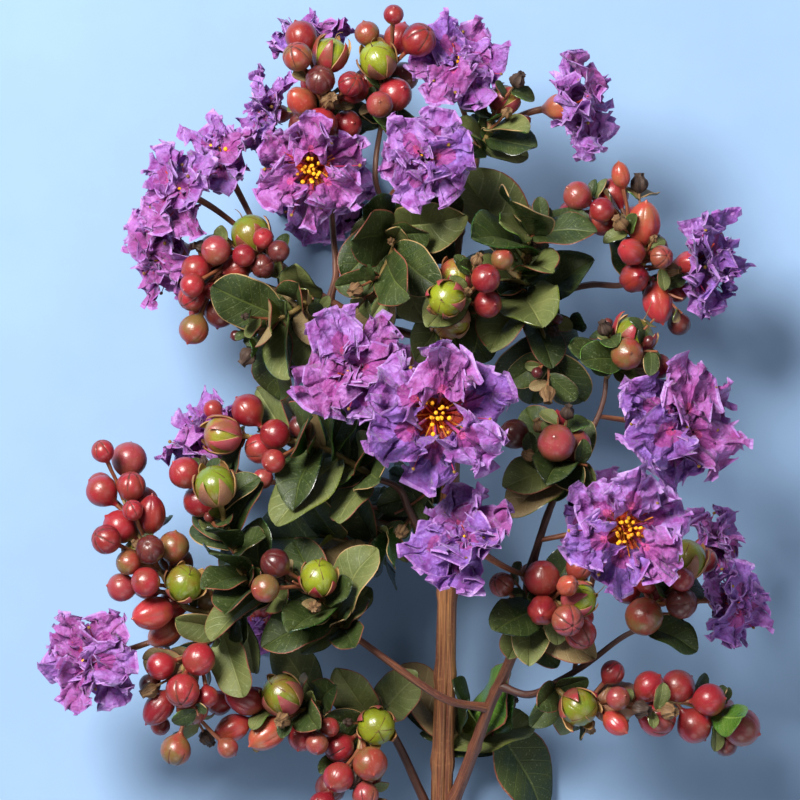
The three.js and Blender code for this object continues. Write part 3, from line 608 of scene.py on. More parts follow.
def make_streaks():
    """Streaks along a stem or a petal, from its own grain: a mask from 0 to 1 and a normal."""
    tree, given, told = start_group("streaks", [MASK, NORMAL], Across=1.2, Along=0.07, Depth=0.0002)
    grain = put(tree, "Attribute", attribute_name="grain").outputs["Vector"]
    scale = put(tree, "CombineXYZ", X=given["Across"], Y=given["Across"], Z=given["Along"]).outputs["Vector"]
    stretched = maths(tree, "MULTIPLY", grain, scale, kind="VectorMath")
    noise = put(tree, "TexNoise", Vector=stretched, Scale=1.0, Detail=5.0, Roughness=0.62).outputs["Fac"]
    bump = put(tree, "Bump", Strength=0.8, Height=noise, Distance=given["Depth"])
    join(tree, ramp(tree, noise, 0.38, 0.62), told["Mask"])
    join(tree, bump.outputs["Normal"], told["Normal"])
    return tree


def make_veins():
    """A leaf's midrib, side veins and net of fine veins, from its grain: a mask and a normal."""
    tree, given, told = start_group("veins", [MASK, NORMAL], Depth=0.0003)
    grain = put(tree, "Attribute", attribute_name="grain").outputs["Vector"]
    parts = put(tree, "SeparateXYZ", Vector=grain).outputs
    across_it = maths(tree, "ABSOLUTE", parts["Y"])
    midrib = ramp(tree, across_it, 0.02, 0.06, 1.0, 0.0)
    slant = maths(tree, "MULTIPLY_ADD", across_it, -0.24, parts["X"])
    ripple = maths(tree, "COSINE", maths(tree, "MULTIPLY", slant, 44.0))
    place = put(tree, "TexCoord").outputs["Object"]
    cells = put(tree, "TexVoronoi", feature="DISTANCE_TO_EDGE", Vector=place, Scale=1500.0)
    net = ramp(tree, cells.outputs["Distance"], 0.0, 0.08, 0.3, 0.0)
    side_veins = ramp(tree, ripple, 0.9, 1.0, 0.0, 0.55)
    veins = maths(tree, "MAXIMUM", maths(tree, "MAXIMUM", midrib, side_veins), net)
    bump = put(tree, "Bump", Strength=0.6, invert=True, Height=veins, Distance=given["Depth"])
    join(tree, veins, told["Mask"])
    join(tree, bump.outputs["Normal"], told["Normal"])
    return tree


EFFECTS = dict(mottle=make_mottle(), crinkle=make_crinkle(), streaks=make_streaks(), veins=make_veins())


def use(tree, effect, **values):
    node = tree.nodes.new("ShaderNodeGroup")
    node.node_tree = EFFECTS[effect]
    for key, value in values.items():
        node.inputs[key].default_value = value
    return node.outputs


def fill(tree, **sockets):
    """Joins a finish's sockets, whose names have _ for each space."""
    for key, value in sockets.items():
        join(tree, value, tree.nodes["Principled BSDF"].inputs[key.replace("_", " ")])


def new_finish(name, **sockets):
    FINISHES[name] = bpy.data.materials.new(name)
    FINISHES[name].use_nodes = True
    fill(FINISHES[name].node_tree, **sockets)
    return FINISHES[name].node_tree


def petal_finish(name, lit, fold, vein):
    tree = new_finish(name, Subsurface_Weight=0.18, Subsurface_Scale=0.0012,
                      Subsurface_Radius=(1.0, 0.45, 1.0), Sheen_Weight=0.15, Sheen_Roughness=0.4)
    patches = use(tree, "mottle", Scale=260, Low=0.36, High=0.66)["Mask"]
    lines = use(tree, "streaks", Across=9.0, Along=0.0, Depth=0.00012)["Mask"]
    creases = use(tree, "crinkle", Scale=760, Depth=0.0006, Strength=0.75)["Normal"]
    # fold is painted shade: a darker copy of the petal's colour, laid over it in soft random patches that
    # don't follow the folds
    colour = blend_of(tree, ramp(tree, lines, high=0.35), blend_of(tree, patches, lit, fold), vein)
    fill(tree, Base_Color=colour, Roughness=ramp(tree, patches, low=0.5, high=0.75), Normal=creases)


def leaf_finish(name, green, patch, vein, coat, low, high):
    """A side of a leaf: soft patches, veins and fine pale dust; low and high are how rough it is."""
    tree = new_finish(name, Coat_Weight=coat, Coat_Roughness=0.2, Specular_IOR_Level=0.45)
    patches = use(tree, "mottle", Scale=160, Low=0.4, High=0.7)["Mask"]
    dust = use(tree, "mottle", Scale=1500, Low=0.6, High=0.7)["Mask"]
    veins = use(tree, "veins", Depth=0.00022)
    colour = blend_of(tree, ramp(tree, veins["Mask"], high=0.6), blend_of(tree, patches, green, patch), vein)
    colour = blend_of(tree, ramp(tree, dust, high=0.22), colour, "a8b488")
    fill(tree, Base_Color=colour, Roughness=ramp(tree, patches, low=low, high=high), Normal=veins["Normal"])


def skin_finish(name, main, blush, fleck, rough, coat, depth=0.0001):
    """The skin of buds, capsules and calyxes: two tones in soft patches, with fine flecks."""
    tree = new_finish(name, Coat_Weight=coat, Coat_Roughness=0.18, Subsurface_Weight=0.06,
                      Subsurface_Scale=0.001)
    patches = use(tree, "mottle", Scale=170, Low=0.42, High=0.62)["Mask"]
    flecks = use(tree, "mottle", Scale=2300, Low=0.63, High=0.72)["Mask"]
    pits = use(tree, "crinkle", Scale=1700, Depth=depth, Strength=0.35)["Normal"]
    colour = blend_of(tree, ramp(tree, flecks, high=0.7), blend_of(tree, patches, main, blush), fleck)
    fill(tree, Base_Color=colour, Roughness=ramp(tree, flecks, low=rough, high=rough + 0.25), Normal=pits)


def bark_finish(name, ground, streak, dark, across_it, along_it, depth, rough):
    tree = new_finish(name, Coat_Weight=0.06, Coat_Roughness=0.35)
    broad = use(tree, "streaks", Across=across_it, Along=along_it, Depth=depth)
    thin = use(tree, "streaks", Across=across_it * 3.1, Along=along_it * 1.7, Depth=depth * 0.5)["Mask"]
    lichen = use(tree, "mottle", Scale=900, Low=0.55, High=0.7)["Mask"]
    colour = blend_of(tree, broad["Mask"], ground, streak)
    colour = blend_of(tree, ramp(tree, thin, high=0.75), colour, dark)
    colour = blend_of(tree, ramp(tree, lichen, high=0.3), colour, streak)
    rough = ramp(tree, broad["Mask"], low=rough, high=rough - 0.2)
    fill(tree, Base_Color=colour, Roughness=rough, Normal=broad["Normal"])


# Each finish's three tones, under the numbers that it shares with others of its kind.
# A petal's tones are its colour, a darker copy of it that is painted shade in soft random patches, and its
# veins.
PETAL_TONES = {(): dict(
    petal_lilac="a074c2 74297c 8a3c90", petal_violet="8c64bc 622678 783688",
    petal_orchid="a468b4 7a266e 903886", petal_rim="b490d0 8c4aa0 a262b2",
    petal_inner="963e90 70226a 842a74", petal_throat="b03c84 8a2258 a02468",
)}
LEAF_TONES = {
    (0.6, 0.26, 0.46): dict(
        leaf_deep="081a05 102807 284414", leaf_mid="123205 20460a 406a1e", leaf_bright="3c6620 58762a 86a04c",
        leaf_olive="465414 5e621c 84883a", leaf_bronze="4e3822 40401e 785a38"),
    (0.0, 0.5, 0.7): dict(
        leaf_under_green="24340f 364214 58642c", leaf_under_grey="545e30 666a38 868a54",
        leaf_under_tan="786440 8a7650 a08a64", leaf_rim_red="6c3426 844c34 6c3426",
        leaf_rim_tan="94764c a88c60 94764c"),
}
SKIN_TONES = {
    (0.36, 0.26): dict(
        bud_red="902029 80332a b46658", bud_crimson="761520 862c24 a8524a", bud_orange="88352a 6e542e ac7254",
        bud_maroon="4c181a 622a24 804238", bud_rosy="8c3238 7c422e b07060"),
    (0.3, 0.3): dict(
        pod_green="68761c 726222 969e48", pod_lime="828c20 74761e a8ae52", pod_blush="807c26 8e4434 aa9250"),
    (0.42, 0.1): dict(sepal_rose="9c404a 7e4a34 ac6858"),
    (0.4, 0.15): dict(sepal_red="8e2832 74402e b05c50"),
    (0.5, 0.1): dict(sepal_dun="8c6244 7a4c3c a8846c"),
    (0.6, 0.0): dict(
        bud_crack="4a1c16 5c281a 7c4430", sepal_inside="a8824c 8c6038 b8986c",
        sepal_margin="a88458 8c6040 c0a074"),
    (0.33, 0.3): dict(calyx_red="a02e34 963e2a bc6054", calyx_orange="a23c30 94563a c07458"),
    (0.5, 0.05): dict(calyx_inside="c8441a a82c18 d86c34"),
    (0.5, 0.0): dict(
        thread_amber="e07a20 d89028 e8a840", thread_red="c8481c b43420 d86830",
        thread_magenta="a82c5c 9c3048 b84870"),
    (0.7, 0.0, 0.0002): dict(anther="f0ac10 e89010 f8c828", anther_dusky="8c6a24 6c4a2c b08c3c"),
}
BARK_TONES = {
    (1.2, 0.06, 0.0003, 0.6): dict(stem_bark="6e361e a07046 30170c"),
    (2.2, 0.1, 0.0003, 0.6): dict(bough_bark="401c14 663a28 220e09"),
    (1.6, 0.08, 0.0003, 0.6): dict(bough_copper="5c2e20 845236 34170f"),
    (4.0, 0.2, 0.00012, 0.6): dict(twig_red="7c3c2c 9c6840 54241c", twig_green="84703c 9c8850 6a4a2c"),
    (3.0, 0.6, 0.0004, 0.85): dict(dry="6c4a2c 94744c 3c2414", dry_dark="30201a 4c3424 180e0a"),
    (3.0, 0.0, 0.0001, 0.6): dict(cut_bark="5c3420 7c5030 38200f"),
    (2.6, 0.0, 0.0002, 0.8): dict(cut_wood="c8a878 dcc498 a88454"),
    (5.0, 0.0, 0.0002, 0.9): dict(cut_pith="9c7c54 b49468 7c5c38"),
}
for make, tones in ((petal_finish, PETAL_TONES), (leaf_finish, LEAF_TONES), (skin_finish, SKIN_TONES),
                    (bark_finish, BARK_TONES)):
    for numbers, kinds in tones.items():
        for name, codes in kinds.items():
            make(name, *codes.split(), *numbers)


# ---- trays: many small things of one kind are gathered into one mesh ----
def placed(points):
    """Drawing millimetres to frame metres; what would sink into the ground is pressed flat on it."""
    at = (points + SHIFT) * MM
    at[:, 2] = np.maximum(at[:, 2], PRESSED)
    return at


def named(finish, count):
    """The finish of each of some faces."""
    return [finish] * count if isinstance(finish, str) else finish


def clothe(mesh, finishes, grain):
    """Gives a mesh its finishes, and its points their pattern coordinates."""
    for finish in finishes:
        mesh.materials.append(FINISHES[finish])
    held = mesh.attributes.new("grain", "FLOAT_VECTOR", "POINT")
    held.data.foreach_set("vector", grain.astype(np.float32).ravel())


def finish_piece(piece, slot, replaced, smooth):
    bpy.ops.object.select_all(action="DESELECT")
    bpy.context.view_layer.objects.active = piece
    piece.select_set(True)
    bpy.ops.object.shade_smooth_by_angle(angle=math.radians(smooth))
    bpy.ops.object.select_all(action="DESELECT")
    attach(piece, "root")
    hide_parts(*replaced)


class Tray:
    def __init__(self, name, slot, *finishes):
        self.name, self.slot, self.finishes = name, slot, finishes
        self.points, self.grain, self.faces, self.finish, self.count = [], [], [], [], 0

    def add(self, points, grain, faces, finish):
        """Points, their pattern coordinates, faces of three or four points, and each face's finish or one."""
        self.points.append(points)
        self.grain.append(grain)
        self.faces += [tuple(self.count + i for i in face) for face in faces]
        self.finish += [self.finishes.index(f) for f in named(finish, len(faces))]
        self.count += len(points)

    def build(self, replaced, smooth=50):
        mesh = bpy.data.meshes.new(self.name)
        mesh.from_pydata(placed(np.vstack(self.points)).tolist(), [], self.faces)
        clothe(mesh, self.finishes, np.vstack(self.grain))
        mesh.polygons.foreach_set("material_index", self.finish)
        piece = bpy.data.objects.new(self.name, mesh)
        bpy.context.scene.collection.objects.link(piece)
        finish_piece(piece, self.slot, replaced, smooth)


# ---- forms: each is added to a tray ----
SOME_WAY = np.array([0.31, 0.52, 0.79])  # from which a form's spin is counted


def grid_faces(rows, columns, wrapped=False):
    i = np.arange(rows * columns).reshape(rows, columns)
    if wrapped:
        i = np.hstack([i, i[:, :1]])
    return np.stack([i[:-1, :-1], i[:-1, 1:], i[1:, 1:], i[1:, :-1]], axis=-1).reshape(-1, 4)


def tube_faces(rows, columns):
    """Faces of a grid wrapped round into a tube, and of a fan at each end, about two points more."""
    last = rows * columns
    faces = [tuple(face) for face in grid_faces(rows, columns, wrapped=True)]
    for j in range(columns):
        k = (j + 1) % columns
        faces += [(last, k, j), (last + 1, last - columns + j, last - columns + k)]
    return faces


def bordered(shape, border, rest, start=0):
    """Names for the faces of a grid: one along both its sides, from a row on, and another for the rest."""
    rows, columns = shape[0] - 1, shape[1] - 1
    return [border if i >= start and j in (0, columns - 1) else rest
            for i in range(rows) for j in range(columns)]


def sheet(tray, p, thick, s, w, tag, upper, lower):
    """A thin closed sheet over a grid of points, its sides joined at the rim. Its grain is s, w and a tag.
    The upper side is the one that its columns, then its rows, turn about."""
    n = np.cross(np.gradient(p, axis=1), np.gradient(p, axis=0))
    n = n / np.maximum(np.linalg.norm(n, axis=-1, keepdims=True), 1e-9) * thick / 2
    inner = np.zeros(s.shape, bool)
    inner[1:-1, 1:-1] = True
    number = np.arange(s.size).reshape(s.shape)
    number[inner] = s.size + np.arange(inner.sum())
    over = grid_faces(*s.shape)
    under = number.ravel()[over][:, ::-1]
    grain = np.dstack([s, w, np.full(s.shape, tag)])
    tray.add(np.vstack([(p + n * inner[..., None]).reshape(-1, 3), (p - n)[inner]]),
             np.vstack([grain.reshape(-1, 3), grain[inner]]), np.vstack([over, under]),
             named(upper, len(over)) + named(lower, len(under)))


def pipe(tray, points, radii, sides, finish, grain_from=0.0):
    """A round twig or thread through points, closed at its ends, with a radius for each point or each end."""
    points = np.asarray(points, float)
    if len(radii) == 2:
        radii = np.linspace(*radii, len(points))
    radii = np.asarray(radii, float)[:, None]
    along = unit(np.gradient(points, axis=0))
    out = across(along, points[-1] - points[0])
    turn = circle(sides)
    ring = around(out[:, None], np.cross(along, out)[:, None], turn)
    skin = points[:, None] + ring * radii[..., None]
    far = grain_from + np.append(0, np.cumsum(np.linalg.norm(np.diff(points, axis=0), axis=1)))
    grain = np.dstack([np.cos(turn) * radii, np.sin(turn) * radii, np.repeat(far[:, None], sides, axis=1)])
    tray.add(np.vstack([skin.reshape(-1, 3), points[0], points[-1]]),
             np.vstack([grain.reshape(-1, 3), [0, 0, far[0]], [0, 0, far[-1]]]),
             tube_faces(len(points), sides), finish)


def twig(points, radii, sides, finish, dice):
    pipe(twigs, points, radii, sides, finish, dice.uniform(0, 90))


def turned(tray, at, axis, spin, radii, heights, angles, reach, finish, seed):
    """A form turned about an axis: reach gives a point's radius by its ring's radius, height and angle.
    The finish is one for all, or tells a face's by its row and column."""
    axis, heights = unit(axis), np.asarray(heights)
    out = square_to(axis, SOME_WAY if abs(axis[0]) < 0.9 else np.array([0.0, 1.0, 0.2]))
    ring = around(out, np.cross(axis, out), angles + spin)
    r = reach(np.asarray(radii)[:, None], heights[:, None], angles[None, :])
    skin = at + ring[None] * r[..., None] + axis * heights[:, None, None]
    rows, columns = r.shape
    share = (heights - heights[0]) / (heights[-1] - heights[0])
    grain = np.dstack(np.broadcast_arrays(np.cos(angles), np.sin(angles), share[:, None]))
    if not isinstance(finish, str):
        finish = ([finish(i, j) for i in range(rows - 1) for j in range(columns)]
                  + [finish(i, j) for j in range(columns) for i in (0, rows - 2)])
    tray.add(np.vstack([skin.reshape(-1, 3), at + axis * heights[0], at + axis * heights[-1]]),
             np.vstack([grain.reshape(-1, 3), [0, 0, 0], [0, 0, 1]]) + np.array([0, 0, 7.0 * seed]),
             tube_faces(rows, columns), finish)


# ---- leaves ----
LEAF_ROWS = np.array([
    0.02, 0.05, 0.1, 0.17, 0.25, 0.34, 0.43, 0.52, 0.61, 0.7, 0.78, 0.85, 0.91, 0.955, 0.985, 0.997])
LEAF_COLUMNS = np.array([1, 0.96, 0.66, 0.34, 0.07, 0, -0.07, -0.34, -0.66, -0.96, -1])
LEAF_TOPS = ("leaf_deep", "leaf_mid", "leaf_bright", "leaf_olive", "leaf_bronze")
LEAF_UNDERS = ("leaf_under_green", "leaf_under_grey", "leaf_under_tan")


def leaf_outline(s):
    return (1 - np.abs(2 * s**1.15 - 1) ** 2.3) ** 0.62


def grow_leaf(leaf, dice, rows=LEAF_ROWS, columns=LEAF_COLUMNS):
    s, w = np.meshgrid(rows, columns, indexing="ij")
    base, long = leaf["base"], leaf["long"]
    waving = FULL * (dice.uniform(1, 2) * s + 0.25 * np.sign(w)) + dice.uniform(0, 6)
    wave = 0.035 * long * w**2 * np.sin(waving)
    quilt = 0.006 * long * np.cos(14 * math.pi * (s - 0.22 * np.abs(w))) * 4 * np.abs(w) * (1 - np.abs(w))
    groove = -0.012 * long * np.exp(-((w / 0.08) ** 2))
    tip = -dice.uniform(-0.04, 0.15) * long * eased((s - 0.6) / 0.4)
    points = leaf_points(leaf, s, w * leaf_outline(s), wave + quilt + groove + tip)
    points += spread(leaf["side"], dice.uniform(-0.06, 0.06) * long * s**2)
    top = dice.choice(LEAF_TOPS, p=(0.42, 0.22, 0.16, 0.14, 0.06))
    under = dice.choice(LEAF_UNDERS, p=(0.62, 0.28, 0.1))
    rim = dice.choice(("leaf_rim_red", "leaf_rim_tan", top), p=(0.3, 0.15, 0.55))
    sheet(leaves, points, max(0.28, long * 0.014), s, w, dice.uniform(0, 9),
          *(bordered(s.shape, rim, side) for side in (top, under)))
    heel = points[0, len(columns) // 2]
    twig([base, mixed(base, heel, 0.5), heel + leaf["along"] * 0.04 * long], [0.42, 0.34, 0.26], 6,
         "twig_green", dice)


# ---- buds and ripe capsules ----
SEXTANT = np.radians([0, 2.2, 7, 20, 40, 53, 57.8])
SEAMED = np.concatenate([SEXTANT + k * math.pi / 3 for k in range(6)])
SEAM_COLUMNS = [j for j in range(len(SEAMED)) if j % len(SEXTANT) in (0, len(SEXTANT) - 1)]
BUD_RADII = [
    0.1, 0.17, 0.26, 0.42, 0.63, 0.83, 0.97, 1.04, 1.03, 0.97, 0.87, 0.73, 0.56, 0.38, 0.22, 0.11, 0.05]
BUD_HEIGHTS = np.array([
    -1.42, -1.26, -1.12, -1.0, -0.84, -0.62, -0.36, -0.08, 0.16, 0.38, 0.57, 0.73, 0.86, 0.95, 1.0, 1.06,
    1.14])
BUDS_SPLIT, BUDS_SWOLLEN = 0.28, 0.2  # shares of the buds
BUD_SKINS = ("bud_red", "bud_crimson", "bud_orange", "bud_maroon", "bud_rosy")
BUDLET = 2  # the radius under which a bud is plain and has fewer rings
POD_RADII = [0.12, 0.3, 0.52, 0.74, 0.9, 0.98, 1.0, 0.97, 0.89, 0.77, 0.6, 0.4, 0.2, 0.06]
POD_HEIGHTS = np.array([
    -1.02, -0.96, -0.86, -0.68, -0.45, -0.2, 0.05, 0.29, 0.5, 0.67, 0.81, 0.91, 0.97, 0.985])
SEPAL_ROWS = np.array([0, 0.12, 0.26, 0.4, 0.55, 0.7, 0.84, 0.94, 1.0])
SEPAL_COLUMNS = np.array([-1, -0.92, -0.5, 0, 0.5, 0.92, 1])
HUSK_RADII = [0.1, 0.35, 0.7, 0.95, 1.0, 0.85, 0.62, 0.5, 0.55, 0.3, 0.05]
HUSK_HEIGHTS = np.array([-1.3, -1.1, -0.85, -0.5, -0.1, 0.3, 0.6, 0.8, 1.15, 1.05, 0.8])


def seam_shape(angles, wide=2.6):
    near = np.abs((angles + math.pi / 6) % (math.pi / 3) - math.pi / 6)
    return np.exp(-((near / np.radians(wide)) ** 2))


def grow_bud(bud, dice):
    r, axis, base = bud["r"], bud["along"], bud["base"]
    split = dice.random() < BUDS_SPLIT
    swollen = not split and r > BUDLET and dice.random() < BUDS_SWOLLEN
    depth = 0.07 if split else 0.018
    skin = dice.choice(BUD_SKINS, p=(0.36, 0.25, 0.12, 0.13, 0.14) if r > BUDLET else (0, 0, 0.5, 0.5, 0))
    lopsided, turn = dice.uniform(0.0, 0.05), dice.uniform(0, 6)
    heights = BUD_HEIGHTS * r
    if swollen:
        skin = dice.choice(("calyx_red", "calyx_orange", "bud_crimson"))
        heights = heights * 1.24
    if split:
        heights[-3:] = [0.97 * r, 0.96 * r, 0.9 * r]

    def reach(ring, height, angles):
        opened = eased((height / r + (0.1 if split else 0.3)) / 0.5) * eased((1.12 - height / r) * 4)
        rib = (0.045 if swollen else 0.014) * np.cos(6 * angles + math.pi)
        seam = seam_shape(angles, 2.6 + (4 if split else 0) * eased(height / r - 0.2))
        slim = 0.9 - 0.1 * height / r / 1.24 if swollen else 1
        return r * ring * slim * (1 - depth * opened * seam + rib + lopsided * np.sin(angles + turn))

    def finish(i, j):
        cracked = split and (i > 6 and j in SEAM_COLUMNS or i > 10 and j % len(SEXTANT) in (1, 5))
        return "bud_crack" if cracked or (split and i > 14) else skin

    form = (BUD_RADII, heights, SEAMED, reach, finish)
    if r < BUDLET:
        form = (BUD_RADII[::2], heights[::2], circle(18), reach, skin)
    turned(buds, bud["middle"], axis, dice.uniform(0, 6), *form, dice.integers(9))
    foot = bud["middle"] - axis * 1.3 * r
    if np.dot(foot - base, axis) > 0.3:
        sag = square_to(axis, np.array([0.2, 0.1, -1.0])) * 0.06 * np.linalg.norm(foot - base)
        near, middle, far = (mixed(base, foot, share) for share in (0.2, 0.5, 0.8))
        stalk = [base, near, middle + sag, far, foot + axis * 0.2]
        twig(stalk, [0.62, 0.55, 0.5, 0.52, 0.6], 8, "twig_red", dice)


def grow_pod(pod, dice):
    """A ripe capsule: a green globe that six pointed sepals clasp from below."""
    r, axis, base, middle = pod["r"] * 0.97, pod["along"], pod["base"], pod["middle"]
    spin = dice.uniform(0, 6)
    skin = dice.choice(("pod_green", "pod_lime", "pod_blush"), p=(0.35, 0.3, 0.35))
    torn = dice.choice(6, dice.integers(2, 6))

    def reach(ring, height, angles):
        return r * ring * (1 - 0.03 * seam_shape(angles) * eased((height / r + 0.2) / 0.4))

    def finish(i, j):
        return "bud_crack" if i > 8 and j in SEAM_COLUMNS and (j + 1) // len(SEXTANT) % 6 in torn else skin

    turned(pods, middle, axis, spin, POD_RADII, POD_HEIGHTS * r, SEAMED, reach, finish, dice.integers(9))
    out = square_to(axis, SOME_WAY)
    side = np.cross(axis, out)
    up_to = math.radians(dice.uniform(22, 58))
    splay = dice.uniform(0.0, 0.22)
    low = math.radians(-84)
    colour = dice.choice(("sepal_rose", "sepal_red", "sepal_dun"), p=(0.45, 0.35, 0.2))
    s, w = np.meshgrid(SEPAL_ROWS, SEPAL_COLUMNS, indexing="ij")
    width = math.radians(30.2) * np.where(s < 0.36, 1, (1 - (s - 0.36) / 0.64) ** 0.75) + math.radians(0.6)
    for k in range(6):
        turn = spin + k * math.pi / 3 + math.radians(30) + width * w
        rise = low + (up_to + dice.uniform(-0.1, 0.12) - low) * s
        lift = r * (1.045 + 0.02 * (1 - w**2) + (splay + dice.uniform(0.0, 0.16)) * eased((s - 0.6) * 2.5))
        points = middle + around(around(out, side, turn), axis, rise) * lift[..., None]
        over = bordered(s.shape, "sepal_margin", colour, 2)
        sheet(pods, points, 0.34, s, w, k + spin, over, "sepal_inside")
    foot = middle - axis * 1.02 * r
    twig([base, mixed(base, foot, 0.5), foot - axis * 0.6, foot + axis * 0.3], [0.75, 0.68, 0.8, 1.2], 9,
         "twig_green", dice)
    if dice.random() < 0.6:
        bend = unit(dice.normal(size=3)) * r * 0.35
        top = middle + axis * 0.95 * r
        style = [top, top + axis * r * 0.3, top + axis * r * 0.55 + bend * 0.5, top + axis * r * 0.7 + bend]
        twig(style, [0.2, 0.12, 0.1, 0.08], 5, "dry", dice)


def wither(base, axis, r, dice):
    """A dried bloom: a shrunken dark husk on a thin stalk, torn at its mouth."""
    middle = base + axis * r * 2.1
    ridges, turn = dice.integers(5, 8), dice.uniform(0, 6)

    def reach(ring, height, angles):
        fold = 0.16 * np.sin(ridges * angles + turn + 1.5 * height / r)
        fold = fold + 0.07 * np.sin(13 * angles + 4 * height / r)
        return r * ring * (1 + fold)

    husk = dice.choice(("dry", "dry_dark"))
    turned(husks, middle, axis, turn, HUSK_RADII, HUSK_HEIGHTS * r, circle(26), reach, husk, 3)
    pipe(twigs, [base, base + axis * r * 0.5, middle - axis * r], [0.4, 0.3, 0.4], 6, "dry", turn)


# ---- blooms ----
PETAL_RINGS = np.array([
    0.05, 0.16, 0.28, 0.39, 0.49, 0.58, 0.66, 0.735, 0.8, 0.855, 0.905, 0.945, 0.975, 1.0])
PETAL_SPREAD = np.radians(np.linspace(-118, 118, 84))
BLADE_ROUND = 0.19  # the blade is a disc of this share of the bloom's width
BLADE_HINGE = 0.12  # and its claw meets it this far from the disc's middle
FOLDS = ((2.5, 0.045, 1.1), (5.3, 0.045, 1.3), (9.8, 0.044, 1.5), (15, 0.034, 2.0), (24, 0.02, 3.2))
CREASES = ((0.2, 0.013), (0.13, 0.012), (0.09, 0.009))  # how far apart and how high, twice each
PETAL_SKINS = ("petal_lilac", "petal_violet", "petal_orchid")
BLOOM_SKINS = dict(
    heart=(0.35, 0.15, 0.5), heart_left=(0.5, 0.1, 0.4), right_front=(0.5, 0.45, 0.05),
    low_front=(0.35, 0.6, 0.05), upper_right=(0.4, 0.55, 0.05), low_right=(0.2, 0.7, 0.1),
    far_left=(0.3, 0.0, 0.7), upper_left_low=(0.2, 0.1, 0.7), upper_left_mid=(0.3, 0.1, 0.6))
SMALL_BLOOMS = ("upper_left_low", "upper_left_mid", "upper_left_top", "crown_side", "crown_left")
OPEN_BLOOMS = ("heart", "right_front", "crown_front", "under_heart", "under_right")  # with bare throats
THREADS = 36  # in a bloom's throat
FRESH = dict(  # anthers in the tuft of each fresh bloom
    heart=16, right_front=26, crown_front=22, crown_top=8, heart_left=3, under_heart=16, under_right=12)
FEW = 4  # anthers in the tuft of a bloom that isn't fresh
CALYX_RADII = [0.03, 0.05, 0.075, 0.094, 0.105, 0.108, 0.106, 0.104, 0.09, 0.083, 0.06, 0.02]
CALYX_HEIGHTS = np.array([-0.03, 0.0, 0.025, 0.055, 0.09, 0.125, 0.155, 0.175, 0.172, 0.14, 0.11, 0.1])


def ruffles(theta, rings, dice):
    """Heights and sideways swings of a petal's folds, which grow towards its rim."""
    height, swing = np.zeros(rings.shape), np.zeros(rings.shape)
    for folds, size, growth in FOLDS:
        phase = folds * theta + dice.uniform(0, 6.3) + dice.uniform(-2.5, 2.5) * rings
        size = size * dice.uniform(0.75, 1.25) * rings**growth
        height += size * np.sin(phase)
        swing += 0.9 * size * np.sin(2 * phase + dice.uniform(-0.4, 0.4))
    return height, swing


def crumpled(x, y, dice):
    """Creases that cross a petal every way, as a height and a shift along it."""
    height, shift = np.zeros(x.shape), np.zeros(x.shape)
    for wave, size in (crease for crease in CREASES for _ in range(2)):
        way, start = dice.uniform(0, math.pi), dice.uniform(0, 6.3)
        phase = (x * math.cos(way) + y * math.sin(way)) * FULL / wave + start
        bent = phase + 1.2 * np.sin(0.5 * phase + 9 * y + start)
        height += size * np.cos(bent)
        shift += 0.6 * size * np.sin(bent)
    return height, shift


def petal_part(i):
    """The finish of a ring of a petal's faces, or None where it has the petal's own."""
    return "petal_throat" if i < 1 else "petal_inner" if i < 3 else None if i < 11 else "petal_rim"


def grow_petal(bloom, petal, dice):
    key, wide = bloom["key"], bloom["wide"]
    closed = key not in OPEN_BLOOMS
    rings, theta = np.meshgrid(PETAL_RINGS, PETAL_SPREAD * (1.2 if closed else 0.86), indexing="ij")
    reach = BLADE_HINGE * np.cos(theta) + np.sqrt(BLADE_ROUND**2 - (BLADE_HINGE * np.sin(theta)) ** 2)
    teeth = np.convolve(dice.uniform(-1, 1, len(PETAL_SPREAD) + 2), [0.3, 0.4, 0.3], "valid")
    notch = 0.07 * np.sin(6 * theta + dice.uniform(0, 6)) + 0.05 * np.sin(14 * theta + dice.uniform(0, 6))
    notch = notch + 0.05 * teeth
    reach = reach * (1 + notch * rings**4) * (1.24 if key in SMALL_BLOOMS else 1.1 if wide < 30 else 1)
    height, swing = ruffles(theta, rings, dice)
    x = reach * rings * np.cos(theta) - swing * np.sin(theta) - BLADE_HINGE
    y = reach * rings * np.sin(theta) + swing * np.cos(theta)
    crease, shift = crumpled(x, y, dice)
    fade = eased(rings * 2.2)
    rim_angle = np.arctan2(y, x)
    if closed:
        inward = eased((0.02 - x) / 0.14)
        x = x - 0.07 * inward
        crease = crease + 0.05 * inward
    else:
        y = y * 0.88
    lift = petal["cup"] * rings**2 + 0.05 * rings * np.sin(3 * rim_angle + petal["phase"])
    z = height + crease * fade + lift + y * petal["tilt"] + x * petal["nod"]
    x = x + shift * fade
    points = (petal["middle"] + spread(petal["along"], x * wide) + spread(petal["side"], y * wide)
              + spread(petal["up"], z * wide))
    skin = dice.choice(PETAL_SKINS, p=BLOOM_SKINS.get(key, (0.45, 0.3, 0.25)))
    names = [petal_part(i) or skin for i in range(len(PETAL_RINGS) - 1) for _ in PETAL_SPREAD[1:]]
    sheet(petals, points, 0.16, rings, theta, dice.uniform(0, 9), names, names)
    hinge = petal["middle"] - petal["along"] * (BLADE_HINGE - 0.01) * wide
    hinge = hinge - petal["up"] * BLADE_HINGE * petal["nod"] * wide
    knee = mixed(petal["root"], hinge, 0.45) + bloom["face"] * 0.035 * wide
    pipe(petals, Bow(petal["root"], knee, hinge).points(np.linspace(0, 1, 8)), (0.4, 0.5), 6, "petal_throat")


